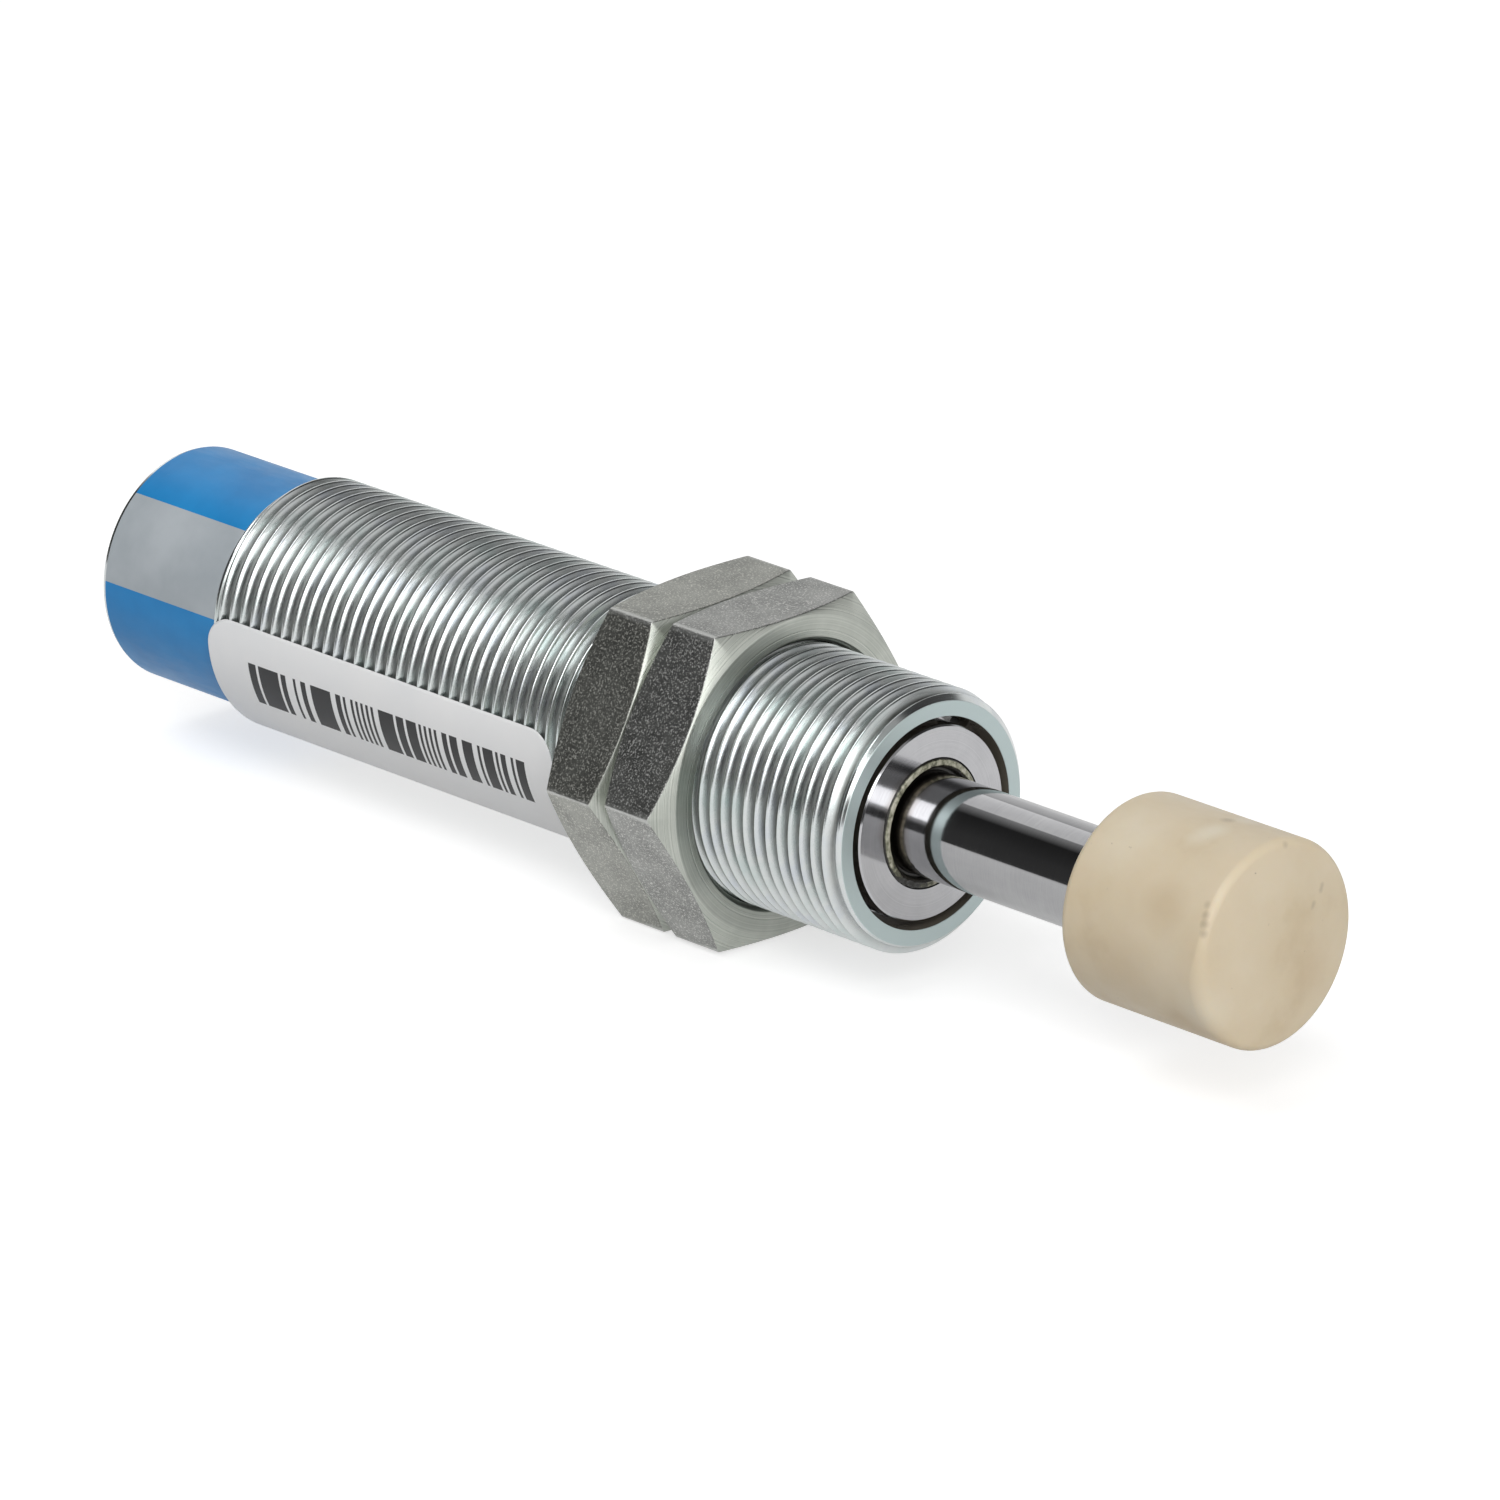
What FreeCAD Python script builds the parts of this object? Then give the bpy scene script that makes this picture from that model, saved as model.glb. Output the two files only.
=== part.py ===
import FreeCAD, Part
import math
import os

# Industrial shock absorber: a threaded body with two lock nuts, a piston rod and a buffer cap.
# The axis is X, and +X points from the body to the buffer. The origin is on the axis, in the
# plane of the body's front stop face. Lengths are in millimetres, angles in degrees.

# Threaded body, an M26 x 1.5 thread drawn plain at the diameter of its crests, 25.8
BODY_LENGTH = 104.3
BODY_WALL = 2.53
BODY_ROOM = 1.37
FRONT_CHAMFER = 1.05
THREAD_RUNOUT = 0.5
END_WALL = 8.5
BODY_EDGE = 0.4

# Plain shank behind the thread, and the printed foil around it
SHANK_LENGTH = 17.0
SHANK_STEP = 1.15
FOIL_THICKNESS = 0.12
FOIL_INSET = 0.8

# Stroke of the rod, and the reach of the rod when it is out
STROKE = 25.0
CAP_REACH = 26.3
OUT_STOP_GAP = 0.2

# Radial clearances: what slides, what is seated, and the thread fit of the lock nuts
SLIDE_GAP = 0.03
SEAT_GAP = 0.02
NUT_GAP = 0.08
END_GAP = 0.05

# Piston rod
ROD_D = 10.0
ROD_SHOULDER = 1.5
ROD_CHAMFER = 0.6
ROD_TIP = 0.3

# Rod guide, from its polished nose to the spigot that centres the pressure tube
NOSE_LENGTH = 3.2
NOSE_GAP = 0.84
NOSE_EDGE = 0.15
FLANGE_LENGTH = 9.8
SLEEVE_LENGTH = 22.0
SLEEVE_WALL = 1.0
COLLAR_LENGTH = 3.5
COLLAR_LIP = 0.7
SPIGOT_LENGTH = 3.0
SPIGOT_WALL = 0.9

# Bearing liner inside the guide
LINER_WALL = 1.1
LINER_LENGTH = 20.0
LINER_DEPTH = 1.5

# Wiper, rod seal and back-up ring in their pockets
WIPER_WALL = 1.42
WIPER_DEPTH = 2.4
WIPER_LIP = 0.3
WIPER_BEVEL = 0.45
SEAL_WALL = 2.6
SEAL_LENGTH = 4.2
SEAL_POCKET_START = 4.3
SEAL_NOTCH_WIDTH = 0.9
SEAL_NOTCH_DEPTH = 2.0
BACKUP_THICKNESS = 1.0

# Guide seal ring
GUIDE_SEAL_WIRE = 1.8
GUIDE_SEAL_SIDES = 8
GUIDE_SEAL_GROOVE = 2.4
GUIDE_SEAL_PLACE = 4.9

# Retaining ring in its groove at the mouth of the body
SNAP_THICKNESS = 1.1
SNAP_GROOVE_DEPTH = 0.63
SNAP_NOSE_GAP = 0.17
SNAP_GAP_ANGLE = 24.0
SNAP_GAP_PLACE = 60.0

# Foam sleeve that takes up the oil which the rod pushes aside
FOAM_GAP = 0.1

# Pressure tube and its base
TUBE_WALL = 1.3
METERING_HOLE_D = 1.3
METERING_HOLES = 5
RETURN_PORT_D = 1.8
RETURN_PORTS = 2
RETURN_PORT_PLACE = 1.6
BASE_FLANGE = 2.0
BASE_SPIGOT = 3.0
BASE_HOLE_D = 3.0

# Piston, its ring, the check valve ring and the piston nut
PISTON_LENGTH = 6.0
PISTON_RING_WIDTH = 2.0
PISTON_RING_DEPTH = 1.05
PISTON_RING_PLACE = 2.0
PISTON_RING_GAP_ANGLE = 12.0
OIL_HOLE_D = 1.2
OIL_HOLES = 4
CHECK_THICKNESS = 0.6
CHECK_TRAVEL = 0.5
CHECK_ROOM = 2.0
CHECK_PLAY = 0.1
PISTON_NUT_SPIGOT_WALL = 0.4
PISTON_NUT_LENGTH = 3.6
PISTON_NUT_ROOM = 3.0

# Return spring
SPRING_WIRE = 0.9
SPRING_ROOM = 3.5
SPRING_TURNS = 6
SPRING_SIDES = 6

# Buffer cap and the snap ring that holds it on the rod
CAP_D = 20.2
CAP_LENGTH = 18.7
CAP_SOCKET = 12.0
CAP_REAR_EDGE = 1.0
CAP_FRONT_EDGE = 1.1
CAP_CROWN = 0.5
CAP_EDGE_FLATS = 3
CAP_CROWN_FLATS = 2
CAP_RING_PLACE = 7.2
CAP_RING_THICKNESS = 1.1
CAP_RING_DEPTH = 0.7
CAP_RING_PROUD = 0.5
CAP_RING_GAP_ANGLE = 40.0

# Oil fill plug in the rear wall
PLUG_THREAD_D = 6.0
PLUG_HEAD_LIP = 1.5
PLUG_HEAD_LENGTH = 2.8
PLUG_RECESS = 0.2
PLUG_SHANK = 4.4
PLUG_SOCKET_AF = 3.0
PLUG_SOCKET_DEPTH = 2.0
PLUG_SEAL_THICKNESS = 0.8

# Lock nuts, jammed against each other
NUT_WALL = 2.95
NUT_THICKNESS = 8.0
NUT_FACE_STEP = 0.25
NUT_CHAMFER_ANGLE = 23.0
NUT_COUNTERSINK = 0.5
FRONT_NUT_SETBACK = 18.3
FRONT_NUT_TURN = 0.7
REAR_NUT_TURN = 2.6

AXIS = FreeCAD.Vector(1, 0, 0)
CENTRE = FreeCAD.Vector(0, 0, 0)

# Diameters worked out from the rod outwards, each a wall or a room away from the one before
ROD_NECK_D = ROD_D - 2 * ROD_SHOULDER
WIPER_D = ROD_D + 2 * WIPER_WALL
SEAL_D = ROD_D + 2 * SEAL_WALL
LINER_D = ROD_D + 2 * LINER_WALL
SLEEVE_D = LINER_D + 2 * SLEEVE_WALL
TUBE_BORE = LINER_D + 2 * SPIGOT_WALL
TUBE_D = TUBE_BORE + 2 * TUBE_WALL
COLLAR_D = TUBE_D + 2 * COLLAR_LIP
BORE_D = COLLAR_D + 2 * BODY_ROOM
THREAD_D = BORE_D + 2 * BODY_WALL
SHANK_D = THREAD_D - 2 * SHANK_STEP
NOSE_D = BORE_D - 2 * NOSE_GAP
SNAP_GROOVE_D = BORE_D + 2 * SNAP_GROOVE_DEPTH
SNAP_INNER_D = NOSE_D + 2 * SNAP_NOSE_GAP
PISTON_D = TUBE_BORE - 2 * SLIDE_GAP
PISTON_GROOVE_D = PISTON_D - 2 * PISTON_RING_DEPTH - 2 * SEAT_GAP
OIL_HOLE_CIRCLE = (ROD_NECK_D + PISTON_GROOVE_D) / 2
CHECK_D = TUBE_BORE - CHECK_ROOM
PISTON_NUT_AF = TUBE_BORE - PISTON_NUT_ROOM
PISTON_NUT_SPIGOT_D = ROD_NECK_D + 2 * PISTON_NUT_SPIGOT_WALL
SPRING_MEAN_D = TUBE_BORE - SPRING_ROOM - SPRING_WIRE
NUT_AF = THREAD_D + 2 * NUT_WALL
NUT_FACE_D = NUT_AF - 2 * NUT_FACE_STEP
PLUG_HEAD_D = PLUG_THREAD_D + 2 * PLUG_HEAD_LIP

# Stations along the axis, worked out from the sizes above
SHOULDER_X = -NOSE_LENGTH
FLANGE_END_X = SHOULDER_X - FLANGE_LENGTH
SLEEVE_END_X = FLANGE_END_X - SLEEVE_LENGTH
COLLAR_END_X = SLEEVE_END_X - COLLAR_LENGTH
GUIDE_END_X = COLLAR_END_X - SPIGOT_LENGTH
PISTON_X = GUIDE_END_X - OUT_STOP_GAP
PISTON_END_X = PISTON_X - PISTON_LENGTH
CHECK_SPACE = CHECK_THICKNESS + CHECK_TRAVEL + CHECK_PLAY
NUT_BODY_X = PISTON_END_X - CHECK_SPACE
NUT_END_X = NUT_BODY_X - PISTON_NUT_LENGTH
REAR_X = -BODY_LENGTH
FLOOR_X = REAR_X + END_WALL
TUBE_END_X = FLOOR_X + BASE_FLANGE
BASE_TOP_X = TUBE_END_X + BASE_SPIGOT
THREAD_START_X = REAR_X + SHANK_LENGTH
CAP_RING_X = CAP_REACH + CAP_RING_PLACE


def point(x, r):
    """A point of a turned profile: x along the axis, r out from it."""
    return FreeCAD.Vector(x, 0, r)


def turned(corners):
    """Solid of revolution about the axis of a closed outline of (x, radius) corners."""
    outline = [point(x, r) for x, r in corners]
    face = Part.Face(Part.makePolygon(outline + outline[:1]))
    return face.revolve(CENTRE, AXIS, 360)


def tube(x_from, x_to, outer_d, inner_d):
    """Plain tube between two stations."""
    outer, inner = outer_d / 2, inner_d / 2
    return turned([(x_from, inner), (x_from, outer), (x_to, outer), (x_to, inner)])


def rod(x_from, x_to, diameter):
    """Plain round bar between two stations."""
    start = FreeCAD.Vector(min(x_from, x_to), 0, 0)
    return Part.makeCylinder(diameter / 2, abs(x_to - x_from), start, AXIS)


def hexagon(x_from, length, across_flats, turn):
    """Hexagonal bar with a corner at the given turn from +Y."""
    corner = across_flats / 2 / math.cos(math.radians(30))
    angles = [math.radians(turn + 60 * k) for k in range(6)]
    corners = [FreeCAD.Vector(x_from, corner * math.cos(a), corner * math.sin(a)) for a in angles]
    return Part.Face(Part.makePolygon(corners + corners[:1])).extrude(AXIS * length)


def slotted(ring, x_from, x_to, gap_angle, place):
    """Open a ring with a gap of the given angle, centred at the given angle from +Y."""
    box = ring.BoundBox
    reach = 2 * box.ZMax
    half = math.radians(gap_angle / 2)
    wedge = [FreeCAD.Vector(x_from, 0, 0)]
    for side in (-1, 1):
        y, z = reach * math.cos(side * half), reach * math.sin(side * half)
        wedge.append(FreeCAD.Vector(x_from, y, z))
    cutter = Part.Face(Part.makePolygon(wedge + wedge[:1])).extrude(AXIS * (x_to - x_from))
    cutter.rotate(CENTRE, AXIS, place)
    return ring.cut(cutter)


def radial_holes(x, diameter, count, reach):
    """Drills that run out from the axis at one station."""
    drills = []
    for k in range(count):
        angle = 2 * math.pi * k / count
        out = FreeCAD.Vector(0, math.cos(angle), math.sin(angle))
        drills.append(Part.makeCylinder(diameter / 2, reach, FreeCAD.Vector(x, 0, 0), out))
    return drills


def housing():
    """Steel body: threaded outside, bored from the front, with a shank and a solid rear wall."""
    crest, shank, bore = THREAD_D / 2, SHANK_D / 2, BORE_D / 2
    body = turned([
        (REAR_X, 0),
        (REAR_X, shank - BODY_EDGE),
        (REAR_X + BODY_EDGE, shank),
        (THREAD_START_X, shank),
        (THREAD_START_X, crest - THREAD_RUNOUT),
        (THREAD_START_X + THREAD_RUNOUT, crest),
        (-FRONT_CHAMFER, crest),
        (0, crest - FRONT_CHAMFER),
        (0, bore),
        (FLOOR_X, bore),
        (FLOOR_X, 0),
    ])
    snap_groove = tube(SHOULDER_X - END_GAP, SHOULDER_X + SNAP_THICKNESS, SNAP_GROOVE_D, BORE_D)
    plug_hole = rod(REAR_X, FLOOR_X, PLUG_THREAD_D)
    head_depth = PLUG_RECESS + PLUG_HEAD_LENGTH + PLUG_SEAL_THICKNESS
    head_hole = rod(REAR_X, REAR_X + head_depth, PLUG_HEAD_D + 2 * SEAT_GAP)
    return body.cut([snap_groove, plug_hole, head_hole])


def shank_foil():
    """Printed foil wrapped round the shank."""
    return tube(REAR_X + FOIL_INSET, THREAD_START_X - END_GAP, SHANK_D + 2 * FOIL_THICKNESS, SHANK_D)


def fill_plug():
    """Oil fill plug with a hexagon socket."""
    head_x = REAR_X + PLUG_RECESS
    head_end = head_x + PLUG_HEAD_LENGTH
    plug = rod(head_x, head_end, PLUG_HEAD_D).fuse(
        rod(head_end, head_end + PLUG_SHANK, PLUG_THREAD_D - 2 * SEAT_GAP))
    socket = hexagon(head_x, PLUG_SOCKET_DEPTH, PLUG_SOCKET_AF, 0)
    return plug.cut(socket).removeSplitter()


def plug_seal():
    """Flat sealing washer under the head of the fill plug."""
    seat_x = REAR_X + PLUG_RECESS + PLUG_HEAD_LENGTH
    return tube(seat_x, seat_x + PLUG_SEAL_THICKNESS, PLUG_HEAD_D, PLUG_THREAD_D)


def rod_guide():
    """Turned guide: polished nose, sealing flange, sleeve for the liner, collar and spigot."""
    nose, flange = NOSE_D / 2, BORE_D / 2 - SEAT_GAP
    sleeve, collar = SLEEVE_D / 2, COLLAR_D / 2
    spigot = TUBE_BORE / 2 - SEAT_GAP
    bore = ROD_D / 2 + SLIDE_GAP
    pocket_end = -SEAL_POCKET_START - BACKUP_THICKNESS - SEAL_LENGTH - END_GAP
    liner_start = GUIDE_END_X + LINER_DEPTH + LINER_LENGTH
    guide = turned([
        (0, WIPER_D / 2),
        (0, nose - NOSE_EDGE),
        (-NOSE_EDGE, nose),
        (SHOULDER_X, nose),
        (SHOULDER_X, flange),
        (FLANGE_END_X, flange),
        (FLANGE_END_X, sleeve),
        (SLEEVE_END_X, sleeve),
        (SLEEVE_END_X, collar),
        (COLLAR_END_X, collar),
        (COLLAR_END_X, spigot),
        (GUIDE_END_X, spigot),
        (GUIDE_END_X, LINER_D / 2),
        (liner_start, LINER_D / 2),
        (liner_start, bore),
        (pocket_end, bore),
        (pocket_end, SEAL_D / 2),
        (-SEAL_POCKET_START, SEAL_D / 2),
        (-SEAL_POCKET_START, bore),
        (-WIPER_DEPTH, bore),
        (-WIPER_DEPTH, WIPER_D / 2),
    ])
    groove_x = SHOULDER_X - GUIDE_SEAL_PLACE
    groove_floor = BORE_D - 2 * GUIDE_SEAL_WIRE - 2 * SEAT_GAP
    groove = tube(groove_x - GUIDE_SEAL_GROOVE / 2, groove_x + GUIDE_SEAL_GROOVE / 2, BORE_D, groove_floor)
    return guide.cut(groove)


def bearing_liner():
    """Thin bearing bush that the rod runs in."""
    rear = GUIDE_END_X + LINER_DEPTH
    return tube(rear, rear + LINER_LENGTH, LINER_D, ROD_D + 2 * SLIDE_GAP)


def wiper_ring():
    """Wiper with a lip that leans on the rod in front of the guide's face."""
    outer, lip = WIPER_D / 2 - SEAT_GAP, ROD_D / 2 + SLIDE_GAP
    return turned([
        (-WIPER_DEPTH, lip),
        (-WIPER_DEPTH, outer),
        (-WIPER_BEVEL, outer),
        (0, outer - WIPER_BEVEL),
        (WIPER_LIP, lip + WIPER_BEVEL),
        (WIPER_LIP, lip + WIPER_BEVEL / 2),
        (-WIPER_BEVEL, lip),
    ])


def backup_ring():
    """Stiff ring that keeps the rod seal from creeping forward."""
    front = -SEAL_POCKET_START
    return tube(front - BACKUP_THICKNESS, front, SEAL_D - 2 * SEAT_GAP, ROD_D + 2 * SLIDE_GAP)


def rod_seal():
    """Lip seal with its groove towards the oil."""
    outer, inner = SEAL_D / 2 - SEAT_GAP, ROD_D / 2 + SLIDE_GAP
    front = -SEAL_POCKET_START - BACKUP_THICKNESS
    rear = front - SEAL_LENGTH
    middle = (outer + inner) / 2
    half = SEAL_NOTCH_WIDTH / 2
    return turned([
        (front, inner),
        (front, outer),
        (rear, outer),
        (rear, middle + half),
        (rear + SEAL_NOTCH_DEPTH, middle),
        (rear, middle - half),
        (rear, inner),
    ])


def guide_seal():
    """Sealing ring between the guide's flange and the body, its round section cut to flats."""
    middle_x = SHOULDER_X - GUIDE_SEAL_PLACE
    middle_r = (BORE_D - GUIDE_SEAL_WIRE) / 2 - SEAT_GAP
    corner = GUIDE_SEAL_WIRE / 2 / math.cos(math.pi / GUIDE_SEAL_SIDES)
    section = []
    for k in range(GUIDE_SEAL_SIDES):
        angle = 2 * math.pi * (k + 0.5) / GUIDE_SEAL_SIDES
        section.append((middle_x + corner * math.cos(angle), middle_r + corner * math.sin(angle)))
    return turned(section)


def retaining_ring():
    """Open spring ring that holds the guide in the body."""
    front = SHOULDER_X + SNAP_THICKNESS
    ring = tube(SHOULDER_X, front, SNAP_GROOVE_D - 2 * SEAT_GAP, SNAP_INNER_D)
    return slotted(ring, SHOULDER_X, front, SNAP_GAP_ANGLE, SNAP_GAP_PLACE)


def foam_sleeve():
    """Closed-cell foam round the guide's sleeve."""
    return tube(
        SLEEVE_END_X + FOAM_GAP, FLANGE_END_X - FOAM_GAP,
        BORE_D - 2 * FOAM_GAP, SLEEVE_D + 2 * FOAM_GAP)


def metering_stations():
    """Stations of the metering holes, closer together towards the end of the stroke."""
    start = PISTON_END_X
    stations = []
    for k in range(METERING_HOLES):
        left = 1 - (k + 0.5) / METERING_HOLES
        stations.append(start - STROKE * (1 - left ** 2))
    return stations


def pressure_tube():
    """Pressure tube with metering holes along one side and return ports at its front."""
    barrel = tube(TUBE_END_X, COLLAR_END_X, TUBE_D, TUBE_BORE)
    drills = radial_holes(GUIDE_END_X - RETURN_PORT_PLACE, RETURN_PORT_D, RETURN_PORTS, TUBE_D)
    for x in metering_stations():
        drills += radial_holes(x, METERING_HOLE_D, 1, TUBE_D)
    return barrel.cut(drills)


def tube_base():
    """Base that closes the pressure tube and carries the return spring."""
    flange, spigot, hole = TUBE_D / 2, TUBE_BORE / 2 - SEAT_GAP, BASE_HOLE_D / 2
    return turned([
        (FLOOR_X, hole),
        (FLOOR_X, flange),
        (TUBE_END_X, flange),
        (TUBE_END_X, spigot),
        (BASE_TOP_X, spigot),
        (BASE_TOP_X, hole),
    ])


def piston_rod():
    """Hard-chromed rod with a neck for the piston and a groove for the cap's ring."""
    outer, neck = ROD_D / 2, ROD_NECK_D / 2
    tip = NUT_END_X - ROD_TIP
    front = CAP_REACH + CAP_SOCKET
    bar = turned([
        (tip, 0),
        (tip, neck - ROD_TIP),
        (NUT_END_X, neck),
        (PISTON_X, neck),
        (PISTON_X, outer),
        (front - ROD_CHAMFER, outer),
        (front, outer - ROD_CHAMFER),
        (front, 0),
    ])
    groove = tube(CAP_RING_X, CAP_RING_X + CAP_RING_THICKNESS, ROD_D, ROD_D - 2 * CAP_RING_DEPTH)
    return bar.cut(groove)


def piston():
    """Piston with a ring groove and oil holes that the check ring covers."""
    body = tube(PISTON_END_X, PISTON_X, PISTON_D, ROD_NECK_D)
    ring_x = PISTON_X - PISTON_RING_PLACE
    groove = tube(ring_x - PISTON_RING_WIDTH, ring_x, TUBE_BORE, PISTON_GROOVE_D)
    drills = []
    for k in range(OIL_HOLES):
        angle = 2 * math.pi * k / OIL_HOLES
        y, z = OIL_HOLE_CIRCLE / 2 * math.cos(angle), OIL_HOLE_CIRCLE / 2 * math.sin(angle)
        drills.append(Part.makeCylinder(
            OIL_HOLE_D / 2, PISTON_LENGTH, FreeCAD.Vector(PISTON_END_X, y, z), AXIS))
    return body.cut([groove] + drills)


def piston_ring():
    """Open sliding ring in the piston's groove."""
    ring_x = PISTON_X - PISTON_RING_PLACE
    inner = PISTON_D - 2 * PISTON_RING_DEPTH
    ring = tube(ring_x - PISTON_RING_WIDTH, ring_x, PISTON_D, inner)
    return slotted(ring, ring_x - PISTON_RING_WIDTH, ring_x, PISTON_RING_GAP_ANGLE, 90)


def check_ring():
    """Loose valve ring behind the piston, closed at rest and free to lift by its travel."""
    front = PISTON_END_X - CHECK_PLAY / 2
    return tube(front - CHECK_THICKNESS, front, CHECK_D, PISTON_NUT_SPIGOT_D + CHECK_PLAY)


def piston_nut():
    """Hexagon nut that clamps the piston to the rod's shoulder and carries the spring."""
    spigot = rod(NUT_BODY_X, PISTON_END_X, PISTON_NUT_SPIGOT_D)
    body = hexagon(NUT_END_X, PISTON_NUT_LENGTH, PISTON_NUT_AF, 0)
    bore = rod(NUT_END_X, PISTON_END_X, ROD_NECK_D)
    return spigot.fuse(body).cut(bore).removeSplitter()


def return_spring():
    """Compression spring between the piston nut and the tube's base."""
    start = BASE_TOP_X + SPRING_WIRE / 2
    length = NUT_END_X - SPRING_WIRE / 2 - start
    path = Part.makeHelix(length / SPRING_TURNS, length, SPRING_MEAN_D / 2)
    path.rotate(CENTRE, FreeCAD.Vector(0, 1, 0), 90)
    path.translate(FreeCAD.Vector(start, 0, 0))
    first = path.Edges[0]
    seat = first.valueAt(first.FirstParameter)
    along = first.tangentAt(first.FirstParameter)
    out = (seat - FreeCAD.Vector(start, 0, 0)).normalize()
    across = along.cross(out).normalize()
    corners = []
    for k in range(SPRING_SIDES):
        angle = 2 * math.pi * (k + 0.5) / SPRING_SIDES
        corners.append(seat + (out * math.cos(angle) + across * math.sin(angle)) * (SPRING_WIRE / 2))
    section = Part.makePolygon(corners + corners[:1])
    return Part.Wire(path.Edges).makePipeShell([section], True, True)


def rounded_edge(centre_x, centre_r, radius, from_angle):
    """Corners of a quarter round that starts at the given angle from +X, cut to short flats."""
    corners = []
    for k in range(CAP_EDGE_FLATS + 1):
        angle = math.radians(from_angle + 90 * k / CAP_EDGE_FLATS)
        corners.append((centre_x + radius * math.cos(angle), centre_r + radius * math.sin(angle)))
    return corners


def buffer_cap():
    """Moulded cap: a cylinder with soft edges, a crowned front and a blind socket for the rod."""
    outer = CAP_D / 2
    rear, front = CAP_REACH, CAP_REACH + CAP_LENGTH
    rim = outer - CAP_FRONT_EDGE
    crown = [(front - CAP_CROWN * (k / CAP_CROWN_FLATS) ** 2, rim * k / CAP_CROWN_FLATS)
             for k in range(CAP_CROWN_FLATS)]
    front_edge = rounded_edge(front - CAP_CROWN - CAP_FRONT_EDGE, rim, CAP_FRONT_EDGE, 0)
    rear_edge = rounded_edge(rear + CAP_REAR_EDGE, outer - CAP_REAR_EDGE, CAP_REAR_EDGE, 90)
    cap = turned(crown + front_edge + rear_edge + [(rear, 0)])
    socket = rod(rear, rear + CAP_SOCKET, ROD_D + 2 * SEAT_GAP)
    groove_d = ROD_D + 2 * CAP_RING_PROUD + 2 * SEAT_GAP
    groove = rod(CAP_RING_X - SEAT_GAP, CAP_RING_X + CAP_RING_THICKNESS + SEAT_GAP, groove_d)
    return cap.cut([socket, groove])


def cap_ring():
    """Open wire ring that snaps into the rod's groove and holds the cap."""
    front = CAP_RING_X + CAP_RING_THICKNESS
    ring = tube(CAP_RING_X, front, ROD_D + 2 * CAP_RING_PROUD, ROD_D - 2 * CAP_RING_DEPTH)
    return slotted(ring, CAP_RING_X, front, CAP_RING_GAP_ANGLE, 90)


def lock_nut(front_x, turn):
    """Hexagon nut with both faces turned to a cone, and a countersunk bore."""
    rear_x = front_x - NUT_THICKNESS
    corner = NUT_AF / 2 / math.cos(math.radians(30))
    face = NUT_FACE_D / 2
    drop = (corner - face) * math.tan(math.radians(NUT_CHAMFER_ANGLE))
    bore = THREAD_D / 2 + NUT_GAP
    sink = NUT_COUNTERSINK
    turned_blank = turned([
        (rear_x, bore + sink),
        (rear_x, face),
        (rear_x + drop, corner),
        (front_x - drop, corner),
        (front_x, face),
        (front_x, bore + sink),
        (front_x - sink, bore),
        (rear_x + sink, bore),
    ])
    return turned_blank.common(hexagon(rear_x, NUT_THICKNESS, NUT_AF, turn))


def all_parts():
    """Every piece of the shock absorber, by its node's name."""
    front_nut_x = -FRONT_NUT_SETBACK
    return {
        "housing": housing(),
        "shank_foil": shank_foil(),
        "fill_plug": fill_plug(),
        "plug_seal": plug_seal(),
        "tube_base": tube_base(),
        "pressure_tube": pressure_tube(),
        "rod_guide": rod_guide(),
        "bearing_liner": bearing_liner(),
        "rod_seal": rod_seal(),
        "backup_ring": backup_ring(),
        "wiper_ring": wiper_ring(),
        "guide_seal": guide_seal(),
        "foam_sleeve": foam_sleeve(),
        "retaining_ring": retaining_ring(),
        "return_spring": return_spring(),
        "piston_rod": piston_rod(),
        "piston": piston(),
        "piston_ring": piston_ring(),
        "check_ring": check_ring(),
        "piston_nut": piston_nut(),
        "buffer_cap": buffer_cap(),
        "cap_ring": cap_ring(),
        "front_lock_nut": lock_nut(front_nut_x, FRONT_NUT_TURN),
        "rear_lock_nut": lock_nut(front_nut_x - NUT_THICKNESS, REAR_NUT_TURN),
    }


os.makedirs("parts", exist_ok=True)
for node, solid in all_parts().items():
    solid.exportStep("parts/" + node + ".step")
    print(node, "volume", round(solid.Volume, 2), "valid", solid.isValid(), "solids", len(solid.Solids))
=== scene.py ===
import math

import bmesh
import bpy
import numpy as np
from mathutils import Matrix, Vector


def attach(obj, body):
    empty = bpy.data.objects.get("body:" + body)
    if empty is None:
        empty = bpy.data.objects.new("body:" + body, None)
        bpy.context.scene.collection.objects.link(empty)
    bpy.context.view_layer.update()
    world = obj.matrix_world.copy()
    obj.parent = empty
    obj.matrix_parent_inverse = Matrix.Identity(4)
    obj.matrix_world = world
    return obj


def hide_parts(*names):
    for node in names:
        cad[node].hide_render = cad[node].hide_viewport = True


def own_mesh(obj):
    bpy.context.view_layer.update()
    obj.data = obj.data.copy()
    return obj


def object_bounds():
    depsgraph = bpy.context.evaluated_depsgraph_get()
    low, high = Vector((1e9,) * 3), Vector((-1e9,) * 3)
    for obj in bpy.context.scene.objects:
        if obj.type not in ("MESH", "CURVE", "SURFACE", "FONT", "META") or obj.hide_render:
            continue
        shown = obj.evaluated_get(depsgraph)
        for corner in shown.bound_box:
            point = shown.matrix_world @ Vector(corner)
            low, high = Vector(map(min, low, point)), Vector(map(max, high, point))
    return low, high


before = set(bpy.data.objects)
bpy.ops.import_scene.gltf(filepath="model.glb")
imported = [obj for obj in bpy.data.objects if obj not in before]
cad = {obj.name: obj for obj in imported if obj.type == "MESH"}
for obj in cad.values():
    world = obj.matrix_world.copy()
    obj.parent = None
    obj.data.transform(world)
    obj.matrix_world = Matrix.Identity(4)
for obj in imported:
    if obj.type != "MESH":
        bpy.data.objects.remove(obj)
cad_box = [list(corner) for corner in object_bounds()]
MM = 0.001


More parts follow.
